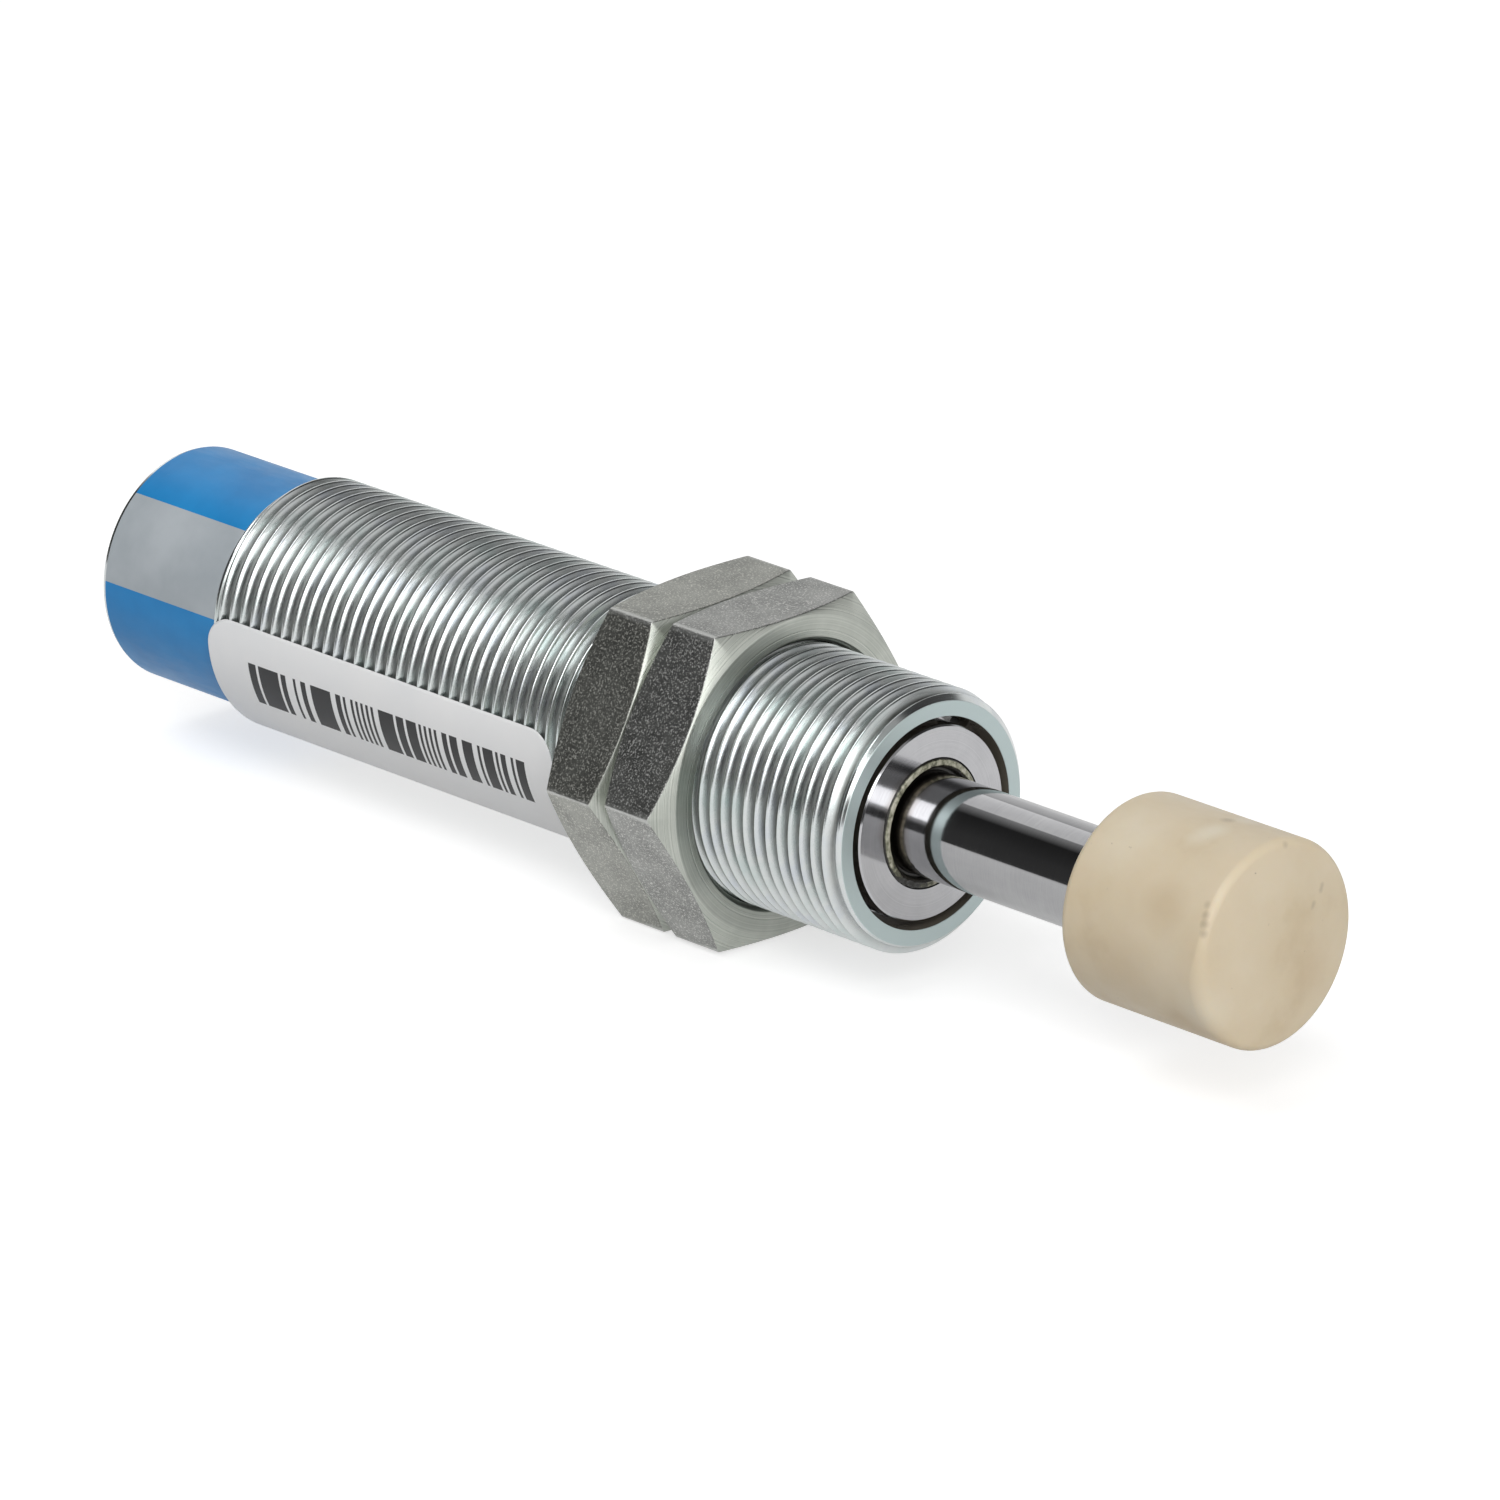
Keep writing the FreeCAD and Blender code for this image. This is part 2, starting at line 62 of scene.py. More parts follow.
# Threaded body: a steel tube with a rolled thread of 1.5 mm pitch outside, bored from the front.
# It is zinc plated and blue passivated. Its shank behind the thread is plain, and the fill plug
# screws into its rear wall, with its head sunk in a counterbore.
MERGE_DISTANCE, SUPPORT_REACH = 2e-7, 1.6
COLUMNS = 108
CREST, ROOT, PITCH = 12.9, 12.02, 1.5
THREAD_REAR, THREAD_FRONT, THREAD_SHIFT = -87.3, 0.0, 0.3
THREAD_SECTION = (
    (0.0, 0.0), (0.08, 0.01), (0.14, 0.075), (0.20, 0.24), (0.38, 0.83), (0.425, 0.965),
    (0.455, 1.0), (0.545, 1.0), (0.575, 0.965), (0.62, 0.83), (0.80, 0.24), (0.86, 0.075),
    (0.92, 0.01))
REAR_CHAMFER_FOOT, FRONT_CHAMFER_FOOT, CONE_END = 11.9, 11.85, 0.1
BODY_REAR, SHANK_RADIUS, SHANK_EDGE, BODY_SOFTNESS = -104.3, 11.75, 0.4, 0.06
PLUG_SEAT, PLUG_HEAD_RADIUS, PLUG_HOLE_RADIUS = -100.5, 4.52, 3.0
BORE_REAR, BORE_RADIUS = -95.8, 10.37
SNAP_GROOVE_RADIUS, SNAP_GROOVE_REAR, SNAP_GROOVE_FRONT = 11.0, -3.25, -2.1
# The bore, from near the rear wall to the mouth, is marked for painted shade.
BORE_SHADE_REAR, BORE_SHADE_FRONT, BORE_SHADE_REACH = BODY_REAR + 1, -0.08, SNAP_GROOVE_RADIUS + 0.01
FACE_MARK_START, FACE_MARK_WIDTH = -0.06, 0.05


def new_mesh(name, points, faces, marks=None):
    """A mesh from an array of corners in millimetres and an array of faces, with corners that share
    one place merged and the normals turned outwards. Marks are numbers for the material, by corner."""
    mesh = bpy.data.meshes.new(name)
    mesh.from_pydata((points.reshape(-1, 3) * MM).tolist(), [], faces.tolist())
    for mark, values in (marks or {}).items():
        layer = mesh.attributes.new(mark, "FLOAT", "POINT")
        layer.data.foreach_set("value", values.astype(np.float32).ravel())
    shape = bmesh.new()
    shape.from_mesh(mesh)
    bmesh.ops.remove_doubles(shape, verts=shape.verts, dist=MERGE_DISTANCE)
    bmesh.ops.recalc_face_normals(shape, faces=shape.faces)
    shape.to_mesh(mesh)
    shape.free()
    mesh.polygons.foreach_set("use_smooth", np.ones(len(mesh.polygons), bool))
    return mesh


def grid_faces(rows, columns, round_wise=True, ring=False, first=0):
    """Four-cornered faces between the points of a grid. The columns close on themselves when the
    surface runs all the way round, and so do the rows when the profile is a ring."""
    last_row, last_column = (rows if ring else rows - 1), (columns if round_wise else columns - 1)
    row, column = np.meshgrid(np.arange(last_row), np.arange(last_column), indexing="ij")
    below, beside = (row + 1) % rows, (column + 1) % columns
    corners = [row * columns + column, row * columns + beside,
               below * columns + beside, below * columns + column]
    return np.stack(corners, axis=-1).reshape(-1, 4) + first


def new_piece(name, mesh, material, body, *replaced, slot=None):
    """An object for the mesh that wears the material, moves with the body and stands for CAD nodes.
    The slot, the record's name for the material, is not used."""
    piece = bpy.data.objects.new(name, mesh)
    bpy.context.scene.collection.objects.link(piece)
    mesh.materials.append(material)
    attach(piece, body)
    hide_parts(*replaced)
    return piece


def turned_points(profile, columns=COLUMNS):
    """Carries a profile of (x, radius) points round the X axis: y is radius times cosine of the
    angle, z is radius times sine."""
    angle = np.linspace(0, 2 * math.pi, columns, endpoint=False)
    x, radius = np.asarray(profile, float).T
    return np.stack([
        np.repeat(x[:, None], columns, axis=1),
        radius[:, None] * np.cos(angle),
        radius[:, None] * np.sin(angle)], axis=-1)


def softened(corners, edge, ring=True):
    """Rounds the corners of a profile. Each becomes a parabola between the points one edge's width
    to either side of it, and a further point beyond each keeps the shading of the flats even."""
    corner = np.asarray(corners, float)
    edge = np.broadcast_to(np.asarray(edge, float), len(corner))[:, None]
    back, ahead = np.roll(corner, 1, axis=0) - corner, np.roll(corner, -1, axis=0) - corner
    back = back / np.linalg.norm(back, axis=1, keepdims=True)
    ahead = ahead / np.linalg.norm(ahead, axis=1, keepdims=True)
    t = np.array([0, 0.25, 0.5, 0.75, 1])[None, :, None]
    edge = edge[:, None, :]
    bend = corner[:, None, :] + edge * ((1 - t) ** 2 * back[:, None, :] + t ** 2 * ahead[:, None, :])
    support = SUPPORT_REACH * edge[:, 0, :]
    rounded = np.concatenate([
        (corner + support * back)[:, None, :], bend, (corner + support * ahead)[:, None, :]], axis=1)
    if ring:
        return rounded.reshape(-1, 2)
    return np.concatenate([corner[:1], rounded[1:-1].reshape(-1, 2), corner[-1:]])


def thread_surface():
    """Helical surface. Each row keeps its place in the thread's section and moves ahead by one pitch
    in a turn. The section's (share of the pitch, share of the height) points give a rounded root,
    straight flanks and a narrow flat crest. A 45 degree cone at each end cuts the thread down, and
    rows past the end stay on its edge. The depth of each point under the crests or the cone comes
    back with it, from 0 to 1."""
    share, height = np.asarray(THREAD_SECTION).T
    turns = np.arange(math.ceil((THREAD_FRONT - THREAD_REAR) / PITCH + 3))
    phase = (turns[:, None] + share[None, :]).ravel()
    turn = np.linspace(0, 1, COLUMNS + 1)
    x = THREAD_REAR + THREAD_SHIFT + PITCH * (phase[:, None] + turn[None, :] - 2)
    radius = (ROOT + (CREST - ROOT) * np.tile(height, len(turns)))[:, None]
    x = np.clip(x, THREAD_REAR + CONE_END, THREAD_FRONT - CONE_END)
    cone = np.minimum(REAR_CHAMFER_FOOT + x - THREAD_REAR, FRONT_CHAMFER_FOOT + THREAD_FRONT - x)
    radius = np.minimum(radius, cone)
    depth = (np.minimum(CREST, cone) - radius) / (CREST - ROOT)
    angle = 2 * math.pi * turn[None, :]
    return np.stack([x, radius * np.cos(angle), radius * np.sin(angle)], axis=-1), depth


def body_mesh():
    """The thread's surface joined to the turned profile of the shank, rear wall, bore and mouth. The
    bore is marked for painted shade, and the front face's own mark grows to 1 over its outermost edge."""
    thread, thread_depth = thread_surface()
    profile = softened([
        (THREAD_REAR + CONE_END, REAR_CHAMFER_FOOT + CONE_END), (THREAD_REAR, REAR_CHAMFER_FOOT),
        (THREAD_REAR, SHANK_RADIUS), (BODY_REAR + SHANK_EDGE, SHANK_RADIUS),
        (BODY_REAR, SHANK_RADIUS - SHANK_EDGE), (BODY_REAR, PLUG_HEAD_RADIUS),
        (PLUG_SEAT, PLUG_HEAD_RADIUS), (PLUG_SEAT, PLUG_HOLE_RADIUS),
        (BORE_REAR, PLUG_HOLE_RADIUS), (BORE_REAR, BORE_RADIUS),
        (SNAP_GROOVE_REAR, BORE_RADIUS), (SNAP_GROOVE_REAR, SNAP_GROOVE_RADIUS),
        (SNAP_GROOVE_FRONT, SNAP_GROOVE_RADIUS), (SNAP_GROOVE_FRONT, BORE_RADIUS),
        (THREAD_FRONT, BORE_RADIUS), (THREAD_FRONT, FRONT_CHAMFER_FOOT),
        (THREAD_FRONT - CONE_END, FRONT_CHAMFER_FOOT + CONE_END)],
        BODY_SOFTNESS, ring=False)
    plain = turned_points(profile)
    points = np.concatenate([thread.reshape(-1, 3), plain.reshape(-1, 3)])
    faces = np.concatenate([
        grid_faces(*thread.shape[:2], round_wise=False),
        grid_faces(*plain.shape[:2], first=thread.shape[0] * thread.shape[1])])
    in_bore = np.hypot(plain[..., 1], plain[..., 2]) < BORE_SHADE_REACH
    in_bore &= (plain[..., 0] < BORE_SHADE_FRONT) & (plain[..., 0] > BORE_SHADE_REAR)
    depth = np.concatenate([thread_depth.ravel(), np.zeros(in_bore.size)])
    bore_shade = np.concatenate([np.zeros(thread_depth.size), in_bore.ravel()])
    front = np.clip((points[:, 0] - FACE_MARK_START) / FACE_MARK_WIDTH, 0, 1)
    return new_mesh("threaded_body", points, faces,
                    {"thread_depth": depth, "front_face": front, "painted_bore_shade": bore_shade})


def new_material(name, **sockets):
    """A material with one Principled shader, whose even numbers and colours are set on its sockets."""
    material = bpy.data.materials.new(name)
    material.use_nodes = True
    shader = material.node_tree.nodes["Principled BSDF"]
    for socket, value in sockets.items():
        shader.inputs[socket.replace("_", " ")].default_value = value
    return material, material.node_tree, shader


def node(tree, kind, inputs, output=0, **settings):
    """Adds a shader node, sets or links its inputs, and gives back one of its outputs."""
    made = tree.nodes.new("ShaderNode" + kind)
    for setting, value in settings.items():
        setattr(made, setting, value)
    for socket, value in inputs.items():
        if isinstance(value, bpy.types.NodeSocket):
            tree.links.new(value, made.inputs[socket])
        else:
            made.inputs[socket].default_value = value
    return made.outputs[output]


def place(tree, stretch=(1, 1, 1)):
    """Object coordinates, stretched along the axes so that a pattern can run along one of them."""
    spot = node(tree, "TexCoord", {}, output="Object")
    return node(tree, "Mapping", {"Vector": spot, "Scale": stretch})


def coordinate(tree, axis):
    """Object coordinate along X, Y or Z, in metres."""
    spot = node(tree, "TexCoord", {}, output="Object")
    return node(tree, "SeparateXYZ", {"Vector": spot}, output=axis)


def marked(tree, mark):
    """The number that the mesh carries for its material under the mark's name."""
    return node(tree, "Attribute", {}, output="Fac", attribute_name=mark)


def noise(tree, where, scale, detail=4.0, roughness=0.55):
    """Soft irregular pattern from 0 to 1, with the given number of waves to the metre."""
    return node(tree, "TexNoise", {
        "Vector": where, "Scale": scale, "Detail": detail, "Roughness": roughness})


def shades(tree, value, *stops):
    """Turns a number into a colour or grey along a row of (place, colour) stops."""
    made = tree.nodes.new("ShaderNodeValToRGB")
    while len(made.color_ramp.elements) < len(stops):
        made.color_ramp.elements.new(0.5)
    for element, (spot, colour) in zip(made.color_ramp.elements, stops):
        element.position = spot
        element.color = colour if len(colour) == 4 else (*colour, 1)
    tree.links.new(value, made.inputs["Fac"])
    return made.outputs["Color"]


def grey(value):
    """A grey with the same value in red, green and blue."""
    return (value, value, value)


def mixed(tree, share, first, second, blend="MIX"):
    """Colour mix of two colours or sockets."""
    return node(tree, "MixRGB", {"Fac": share, "Color1": first, "Color2": second}, blend_type=blend)


def sums(tree, operation, first, second=0.0, third=0.0):
    """One arithmetic step on numbers or sockets."""
    return node(tree, "Math", {0: first, 1: second, 2: third}, operation=operation)


def link_look(tree, shader, colour, roughness, height, strength, distance):
    """Links a colour, a roughness and a bump of the given height pattern to the shader."""
    tree.links.new(colour, shader.inputs["Base Color"])
    tree.links.new(roughness, shader.inputs["Roughness"])
    bump = node(tree, "Bump", {"Height": height, "Strength": strength, "Distance": distance},
                output="Normal")
    tree.links.new(bump, shader.inputs["Normal"])


def zinc_plate():
    """Bright blue-passivated zinc: silver crests, fine drawn lines, and painted shade that darkens the
    roots of the thread by their depth. The turned front face is a matt pale blue-green, and the bore
    is painted dark brown and mostly not metallic, as painted shade for the dark gap round the guide."""
    material, tree, shader = new_material("blue_passivated_zinc")
    deep = marked(tree, "thread_depth")
    front = marked(tree, "front_face")
    bore_shade = marked(tree, "painted_bore_shade")
    cloud = noise(tree, place(tree), 260, 5)
    lines = noise(tree, place(tree, (1, 0.06, 0.06)), 9000, 2)
    # Painted shade: the thread's roots are darkened by the square of their depth, with a little noise.
    root_shade = sums(tree, "MULTIPLY", sums(tree, "POWER", deep, 2.0), sums(tree, "ADD", cloud, 0.5))
    clean = shades(tree, cloud, (0.3, (0.62, 0.69, 0.68)), (0.52, (0.74, 0.77, 0.765)),
                   (0.7, (0.68, 0.72, 0.76)))
    colour = mixed(tree, root_shade, clean, (0.10, 0.105, 0.095, 1))
    colour = mixed(tree, front, colour, (0.56, 0.65, 0.65, 1))
    # Painted shade: the bore turns dark brown and mostly not metallic, for the dark gap round the
    # guide.
    colour = mixed(tree, bore_shade, colour, (0.20, 0.18, 0.145, 1))
    tree.links.new(sums(tree, "MULTIPLY_ADD", bore_shade, -0.85, 1.0), shader.inputs["Metallic"])
    rough = shades(tree, sums(tree, "ADD", sums(tree, "MULTIPLY", lines, 0.5), root_shade),
                   (0.2, grey(0.15)), (0.6, grey(0.27)), (1.0, grey(0.5)))
    rough = mixed(tree, front, rough, (*grey(0.5), 1))
    link_look(tree, shader, colour, rough, lines, 0.12, 0.00003)
    return material


new_piece("threaded_body", body_mesh(), zinc_plate(), "body", "housing", slot="zinc_steel")


# Printed foil round the shank: thin plastic film with a silver-grey band between two blue fields,
# glued on. Its print is left bare.
FOIL_BAND = (129.6, 175.4)


def angle_round(tree):
    """Angle round the X axis from +Y towards +Z, in degrees from -180 to 180."""
    radians = sums(tree, "ARCTAN2", coordinate(tree, "Z"), coordinate(tree, "Y"))
    return sums(tree, "MULTIPLY", radians, 180 / math.pi)


def between(tree, number, low, high):
    """1 where the number lies between the two limits, and 0 elsewhere."""
    return sums(tree, "MULTIPLY", sums(tree, "GREATER_THAN", number, low),
                sums(tree, "LESS_THAN", number, high))


def printed_foil():
    """Colours by the angle round the shank, with faint scuffs and a satin gloss."""
    material, tree, shader = new_material("printed_foil", IOR=1.4)
    inside = between(tree, angle_round(tree), *FOIL_BAND)
    cloud = noise(tree, place(tree), 120, 4)
    scuff = noise(tree, place(tree, (0.35, 1, 1)), 900, 6, 0.7)
    blue = shades(tree, cloud, (0.35, (0.010, 0.215, 0.535)), (0.65, (0.016, 0.27, 0.635)))
    silver = shades(tree, cloud, (0.35, (0.38, 0.42, 0.45)), (0.65, (0.47, 0.51, 0.54)))
    ink = mixed(tree, inside, blue, silver)
    worn = shades(tree, scuff, (0.66, grey(0.0)), (0.74, grey(0.35)))
    colour = mixed(tree, worn, ink, (0.45, 0.55, 0.65, 1))
    rough = shades(tree, scuff, (0.3, grey(0.30)), (0.8, grey(0.48)))
    link_look(tree, shader, colour, rough, cloud, 0.1, 0.00005)
    return material


def dress(material, *names):
    """Puts the material on CAD nodes that are shown as they are."""
    for name in names:
        cad[name].data.materials.clear()
        cad[name].data.materials.append(material)


dress(printed_foil(), "shank_foil")


# Paper sticker: a glossy white strip that lies over the thread's crests, its corners rounded, with
# a plain row of printed bars. Its glue holds it on the crests, so the thread shows through faintly.
STICKER_ENDS = (-87.1, -38.0)
STICKER_EDGES = (171.0, 262.0)
STICKER_CORNER, STICKER_RADIUS, STICKER_THICKNESS = 3.2, 12.955, 0.05
STICKER_CORNER_ROWS, STICKER_ROWS, STICKER_COLUMNS = 12, 140, 60
BARS_ENDS = (-81.7, -42.0)
BARS_EDGES = (187.5, 208.5)
BAR_WIDTH, WHITE_BARS = 0.36, 0.42


def sticker_mesh():
    """Patch of a cylinder. One parameter runs along the axis and the other round it. Near each end
    the width shrinks by the gap between a straight edge and a quarter circle, for round corners."""
    length = STICKER_ENDS[1] - STICKER_ENDS[0]
    half = math.radians(STICKER_EDGES[1] - STICKER_EDGES[0]) / 2
    ease = (1 - np.cos(np.linspace(0, math.pi / 2, STICKER_CORNER_ROWS))) * STICKER_CORNER
    straight = np.linspace(STICKER_CORNER, length - STICKER_CORNER, STICKER_ROWS)
    along = np.concatenate([ease, straight[1:-1], length - ease[::-1]])
    inset = np.clip(STICKER_CORNER - np.minimum(along, length - along), 0, None)
    cut = STICKER_CORNER - np.sqrt(STICKER_CORNER ** 2 - inset ** 2)
    share = np.linspace(-1, 1, STICKER_COLUMNS)
    middle = math.radians(sum(STICKER_EDGES) / 2)
    angle = middle + share[None, :] * (half - cut[:, None] / STICKER_RADIUS)
    x = np.repeat((STICKER_ENDS[0] + along)[:, None], len(share), axis=1)
    sheets = [np.stack([x, r * np.cos(angle), r * np.sin(angle)], axis=-1)
              for r in (STICKER_RADIUS, STICKER_RADIUS - STICKER_THICKNESS)]
    rows, columns = x.shape
    rim = np.concatenate([
        np.arange(columns), np.arange(1, rows) * columns + columns - 1,
        (rows - 1) * columns + np.arange(columns - 2, -1, -1),
        np.arange(rows - 2, 0, -1) * columns])
    under = rim + rows * columns
    edge = np.stack([rim, np.roll(rim, -1), np.roll(under, -1), under], axis=-1)
    faces = np.concatenate([
        grid_faces(rows, columns, round_wise=False),
        grid_faces(rows, columns, round_wise=False, first=rows * columns)[:, ::-1], edge])
    return new_mesh("paper_sticker", np.concatenate([s.reshape(-1, 3) for s in sheets]), faces)


def sticker_paper():
    """White coated paper. The bars come from random cells along the axis, so they mean nothing."""
    material, tree, shader = new_material("sticker_paper", IOR=1.46)
    x = coordinate(tree, "X")
    angle = sums(tree, "MODULO", sums(tree, "ADD", angle_round(tree), 360), 360)
    cell = sums(tree, "FLOOR", sums(tree, "MULTIPLY", x, 1 / (BAR_WIDTH * MM)))
    dice = node(tree, "TexWhiteNoise", {"W": cell}, noise_dimensions="1D")
    black = sums(tree, "GREATER_THAN", dice, WHITE_BARS)
    for number, low, high in ((x, BARS_ENDS[0] * MM, BARS_ENDS[1] * MM), (angle, *BARS_EDGES)):
        black = sums(tree, "MULTIPLY", black, between(tree, number, low, high))
    cloud = noise(tree, place(tree), 90, 3)
    paper = shades(tree, cloud, (0.3, (0.84, 0.85, 0.86)), (0.7, (0.90, 0.90, 0.90)))
    colour = mixed(tree, black, paper, (0.012, 0.012, 0.014, 1))
    ridges = node(tree, "TexWave", {"Vector": place(tree), "Scale": 1 / (20 * PITCH * MM)},
                  output="Fac", bands_direction="X")
    rough = shades(tree, cloud, (0.3, grey(0.34)), (0.7, grey(0.46)))
    link_look(tree, shader, colour, rough, ridges, 0.25, 0.00002)
    return material


new_piece("paper_sticker", sticker_mesh(), sticker_paper(), "body")


# Fill plug and its sealing washer: a steel screw plug with a hexagon socket, sunk in the rear wall
# on a copper washer. It closes the hole that the oil goes in through.
def weighted(tree, first, first_share, second, second_share):
    """Sum of two patterns, each times its share."""
    return sums(tree, "ADD", sums(tree, "MULTIPLY", first, first_share),
                sums(tree, "MULTIPLY", second, second_share))


def worn_steel(name, dark, light, roughness, lines=(1, 1, 1), scale=1500):
    """Machined steel: two close greys in a pattern of tool lines, with matching gloss and bump."""
    material, tree, shader = new_material(name, Metallic=1.0)
    marks = noise(tree, place(tree, lines), scale, 3)
    cloud = noise(tree, place(tree), 180, 4)
    tone = weighted(tree, marks, 0.6, cloud, 0.4)
    colour = shades(tree, tone, (0.35, dark), (0.65, light))
    rough = shades(tree, tone, (0.3, grey(roughness * 0.8)), (0.7, grey(roughness * 1.25)))
    link_look(tree, shader, colour, rough, marks, 0.15, 0.00003)
    return material


plug_steel = worn_steel("plug_steel", (0.42, 0.43, 0.44), (0.60, 0.61, 0.62), 0.3)
washer_copper = worn_steel("washer_copper", (0.62, 0.33, 0.20), (0.78, 0.45, 0.29), 0.35)
dress(plug_steel, "fill_plug")
dress(washer_copper, "plug_seal")


# Inside the body: the pressure tube on its base, with the metering holes that slow the piston, and
# the foam sleeve that takes up the oil which the rod pushes aside. All of it is sealed in.
inner_steel = worn_steel(
    "honed_steel", (0.50, 0.51, 0.52), (0.64, 0.65, 0.66), 0.25, lines=(1, 0.05, 0.05), scale=5000)
dress(inner_steel, "tube_base", "pressure_tube")


def closed_cell_foam():
    """Dark foam: cells from a Voronoi pattern, sunk between their walls, with painted shade that
    darkens each cell towards its middle.
    """
    material, tree, shader = new_material("closed_cell_foam")
    cells = node(tree, "TexVoronoi", {"Vector": place(tree), "Scale": 2600}, output="Distance")
    # Painted shade: darker towards the middle of each cell, where it is sunk.
    colour = shades(tree, cells, (0.1, (0.015, 0.015, 0.017)), (0.7, (0.055, 0.055, 0.06)))
    rough = shades(tree, cells, (0, grey(0.95)), (1, grey(0.8)))
    link_look(tree, shader, colour, rough, cells, 0.6, 0.0002)
    return material


dress(closed_cell_foam(), "foam_sleeve")


# Rod guide and what it carries: a turned steel guide with a polished face, a bronze liner that the
# rod runs in, a lip seal on its back-up ring, and a rubber ring against the body's bore.
def turning_rings(tree, scale):
    """Fine rings by the distance from the axis, as a lathe leaves them."""
    radius = node(tree, "VectorMath", {0: place(tree, (0, 1, 1))}, output="Value", operation="LENGTH")
    return node(tree, "TexNoise", {"W": radius, "Scale": scale, "Detail": 2.0},
                noise_dimensions="1D")


def polished_face():
    """Polished steel with faint rings from the lathe, seen best by their gloss."""
    material, tree, shader = new_material("polished_face", Metallic=1.0)
    rings = turning_rings(tree, 9000.0)
    smear = noise(tree, place(tree), 420, 5, 0.65)
    tone = weighted(tree, rings, 0.5, smear, 0.5)
    colour = shades(tree, tone, (0.35, (0.50, 0.50, 0.515)), (0.65, (0.585, 0.585, 0.60)))
    rough = shades(tree, tone, (0.35, grey(0.07)), (0.7, grey(0.16)))
    link_look(tree, shader, colour, rough, rings, 0.05, 0.00001)
    return material


def soft_rubber(name, base):
    """Moulded rubber: nearly black, with a faint bloom."""
    material, tree, shader = new_material(name, IOR=1.52)
    bloom = noise(tree, place(tree), 700, 5)
    colour = shades(tree, bloom, (0.35, grey(base)), (0.7, grey(base * 2.2)))
    rough = shades(tree, bloom, (0.3, grey(0.45)), (0.7, grey(0.65)))
    link_look(tree, shader, colour, rough, bloom, 0.2, 0.00003)
    return material


def hard_plain(name, dark, light):
    """A hard surface that isn't bare metal, such as plastic or black oxide, in two close shades."""
    material, tree, shader = new_material(name, IOR=1.48)
    cloud = noise(tree, place(tree), 600, 4)
    colour = shades(tree, cloud, (0.35, dark), (0.65, light))
    rough = shades(tree, cloud, (0.3, grey(0.35)), (0.7, grey(0.5)))
    link_look(tree, shader, colour, rough, cloud, 0.15, 0.00002)
    return material


bronze = worn_steel("bearing_bronze", (0.52, 0.36, 0.17), (0.66, 0.49, 0.27), 0.35, scale=3000)
seal_rubber = soft_rubber("seal_rubber", 0.012)
dress(polished_face(), "rod_guide")
dress(bronze, "bearing_liner")
dress(seal_rubber, "rod_seal", "guide_seal")
dress(hard_plain("backup_plastic", (0.66, 0.65, 0.60), (0.75, 0.74, 0.70)), "backup_ring")


# Retaining ring: an open ring of spring steel with a black oxide skin, in the groove at the body's
# mouth, deep in the dark gap round the guide.
dress(hard_plain("black_oxide", (0.035, 0.03, 0.024), (0.07, 0.06, 0.05)), "retaining_ring")


# Wiper: a plastic ring in the guide's face that keeps dirt off the rod. Its rim is whitish and
# ragged, and between the rim and the rod lies a groove full of black oily dirt.
WIPER_COLUMNS, WIPER_SOFTNESS, WIPER_TOP = 240, 0.04, 0.3
WIPER_PROFILE = (
    (-2.4, 5.03), (-2.4, 6.4), (-0.3, 6.4), (-0.02, 6.32), (0.18, 6.1), (0.2, 5.7),
    (0.02, 5.45), (-0.6, 5.3), (-0.6, 5.03))
WIPER_WAVES = ((5, 0.3), (11, 1.9), (17, 4.0), (29, 2.2), (43, 0.9), (61, 3.1))
RIM_FOOT, RIM_HEIGHT, RIM_WANDER = -0.2, 0.3, 0.025
DIRT_MIDDLE, DIRT_WIDTH, DIRT_SPIKE, DIRT_SPREAD = 238, 24, 0.05, 0.035
INNER_GROOVE, INNER_FADE, OUTER_GROOVE, OUTER_FADE = 5.72, 0.16, 6.2, 0.1


def wiper_mesh():
    """Turned profile with a narrow rim. Its height wanders by a sum of sines of the angle, and dirt
    pushes it out in spikes below the rod, by a bell curve of the angle times the same sines. The
    mark of dirt grows from the rim to the groove, and again with the bell curve."""
    points = turned_points(softened(WIPER_PROFILE, WIPER_SOFTNESS), WIPER_COLUMNS)
    angle = np.linspace(0, 2 * math.pi, WIPER_COLUMNS, endpoint=False)
    ragged = sum(np.sin(k * angle + shift) / k ** 0.4 for k, shift in WIPER_WAVES)
    below = np.exp(-((np.degrees(angle) - DIRT_MIDDLE) / DIRT_WIDTH) ** 2)
    rim = np.clip((points[..., 0] - RIM_FOOT) / RIM_HEIGHT, 0, 1)
    points[..., 0] += rim * (RIM_WANDER * ragged + DIRT_SPIKE * below * np.clip(ragged, 0, None))
    points[..., 0] = np.minimum(points[..., 0], WIPER_TOP)
    outwards = 1 + rim * below * DIRT_SPREAD * np.clip(ragged, 0, None)
    points[..., 1:] *= outwards[..., None]
    radius = np.hypot(points[..., 1], points[..., 2])
    inner = np.clip((INNER_GROOVE - radius) / INNER_FADE, 0, 1)
    outer = np.clip((radius - OUTER_GROOVE) / OUTER_FADE, 0, 1)
    dirt = inner + outer + 0.65 * below + 0.12 * ragged
    return new_mesh("wiper", points, grid_faces(*points.shape[:2], ring=True), {"dirt": dirt})


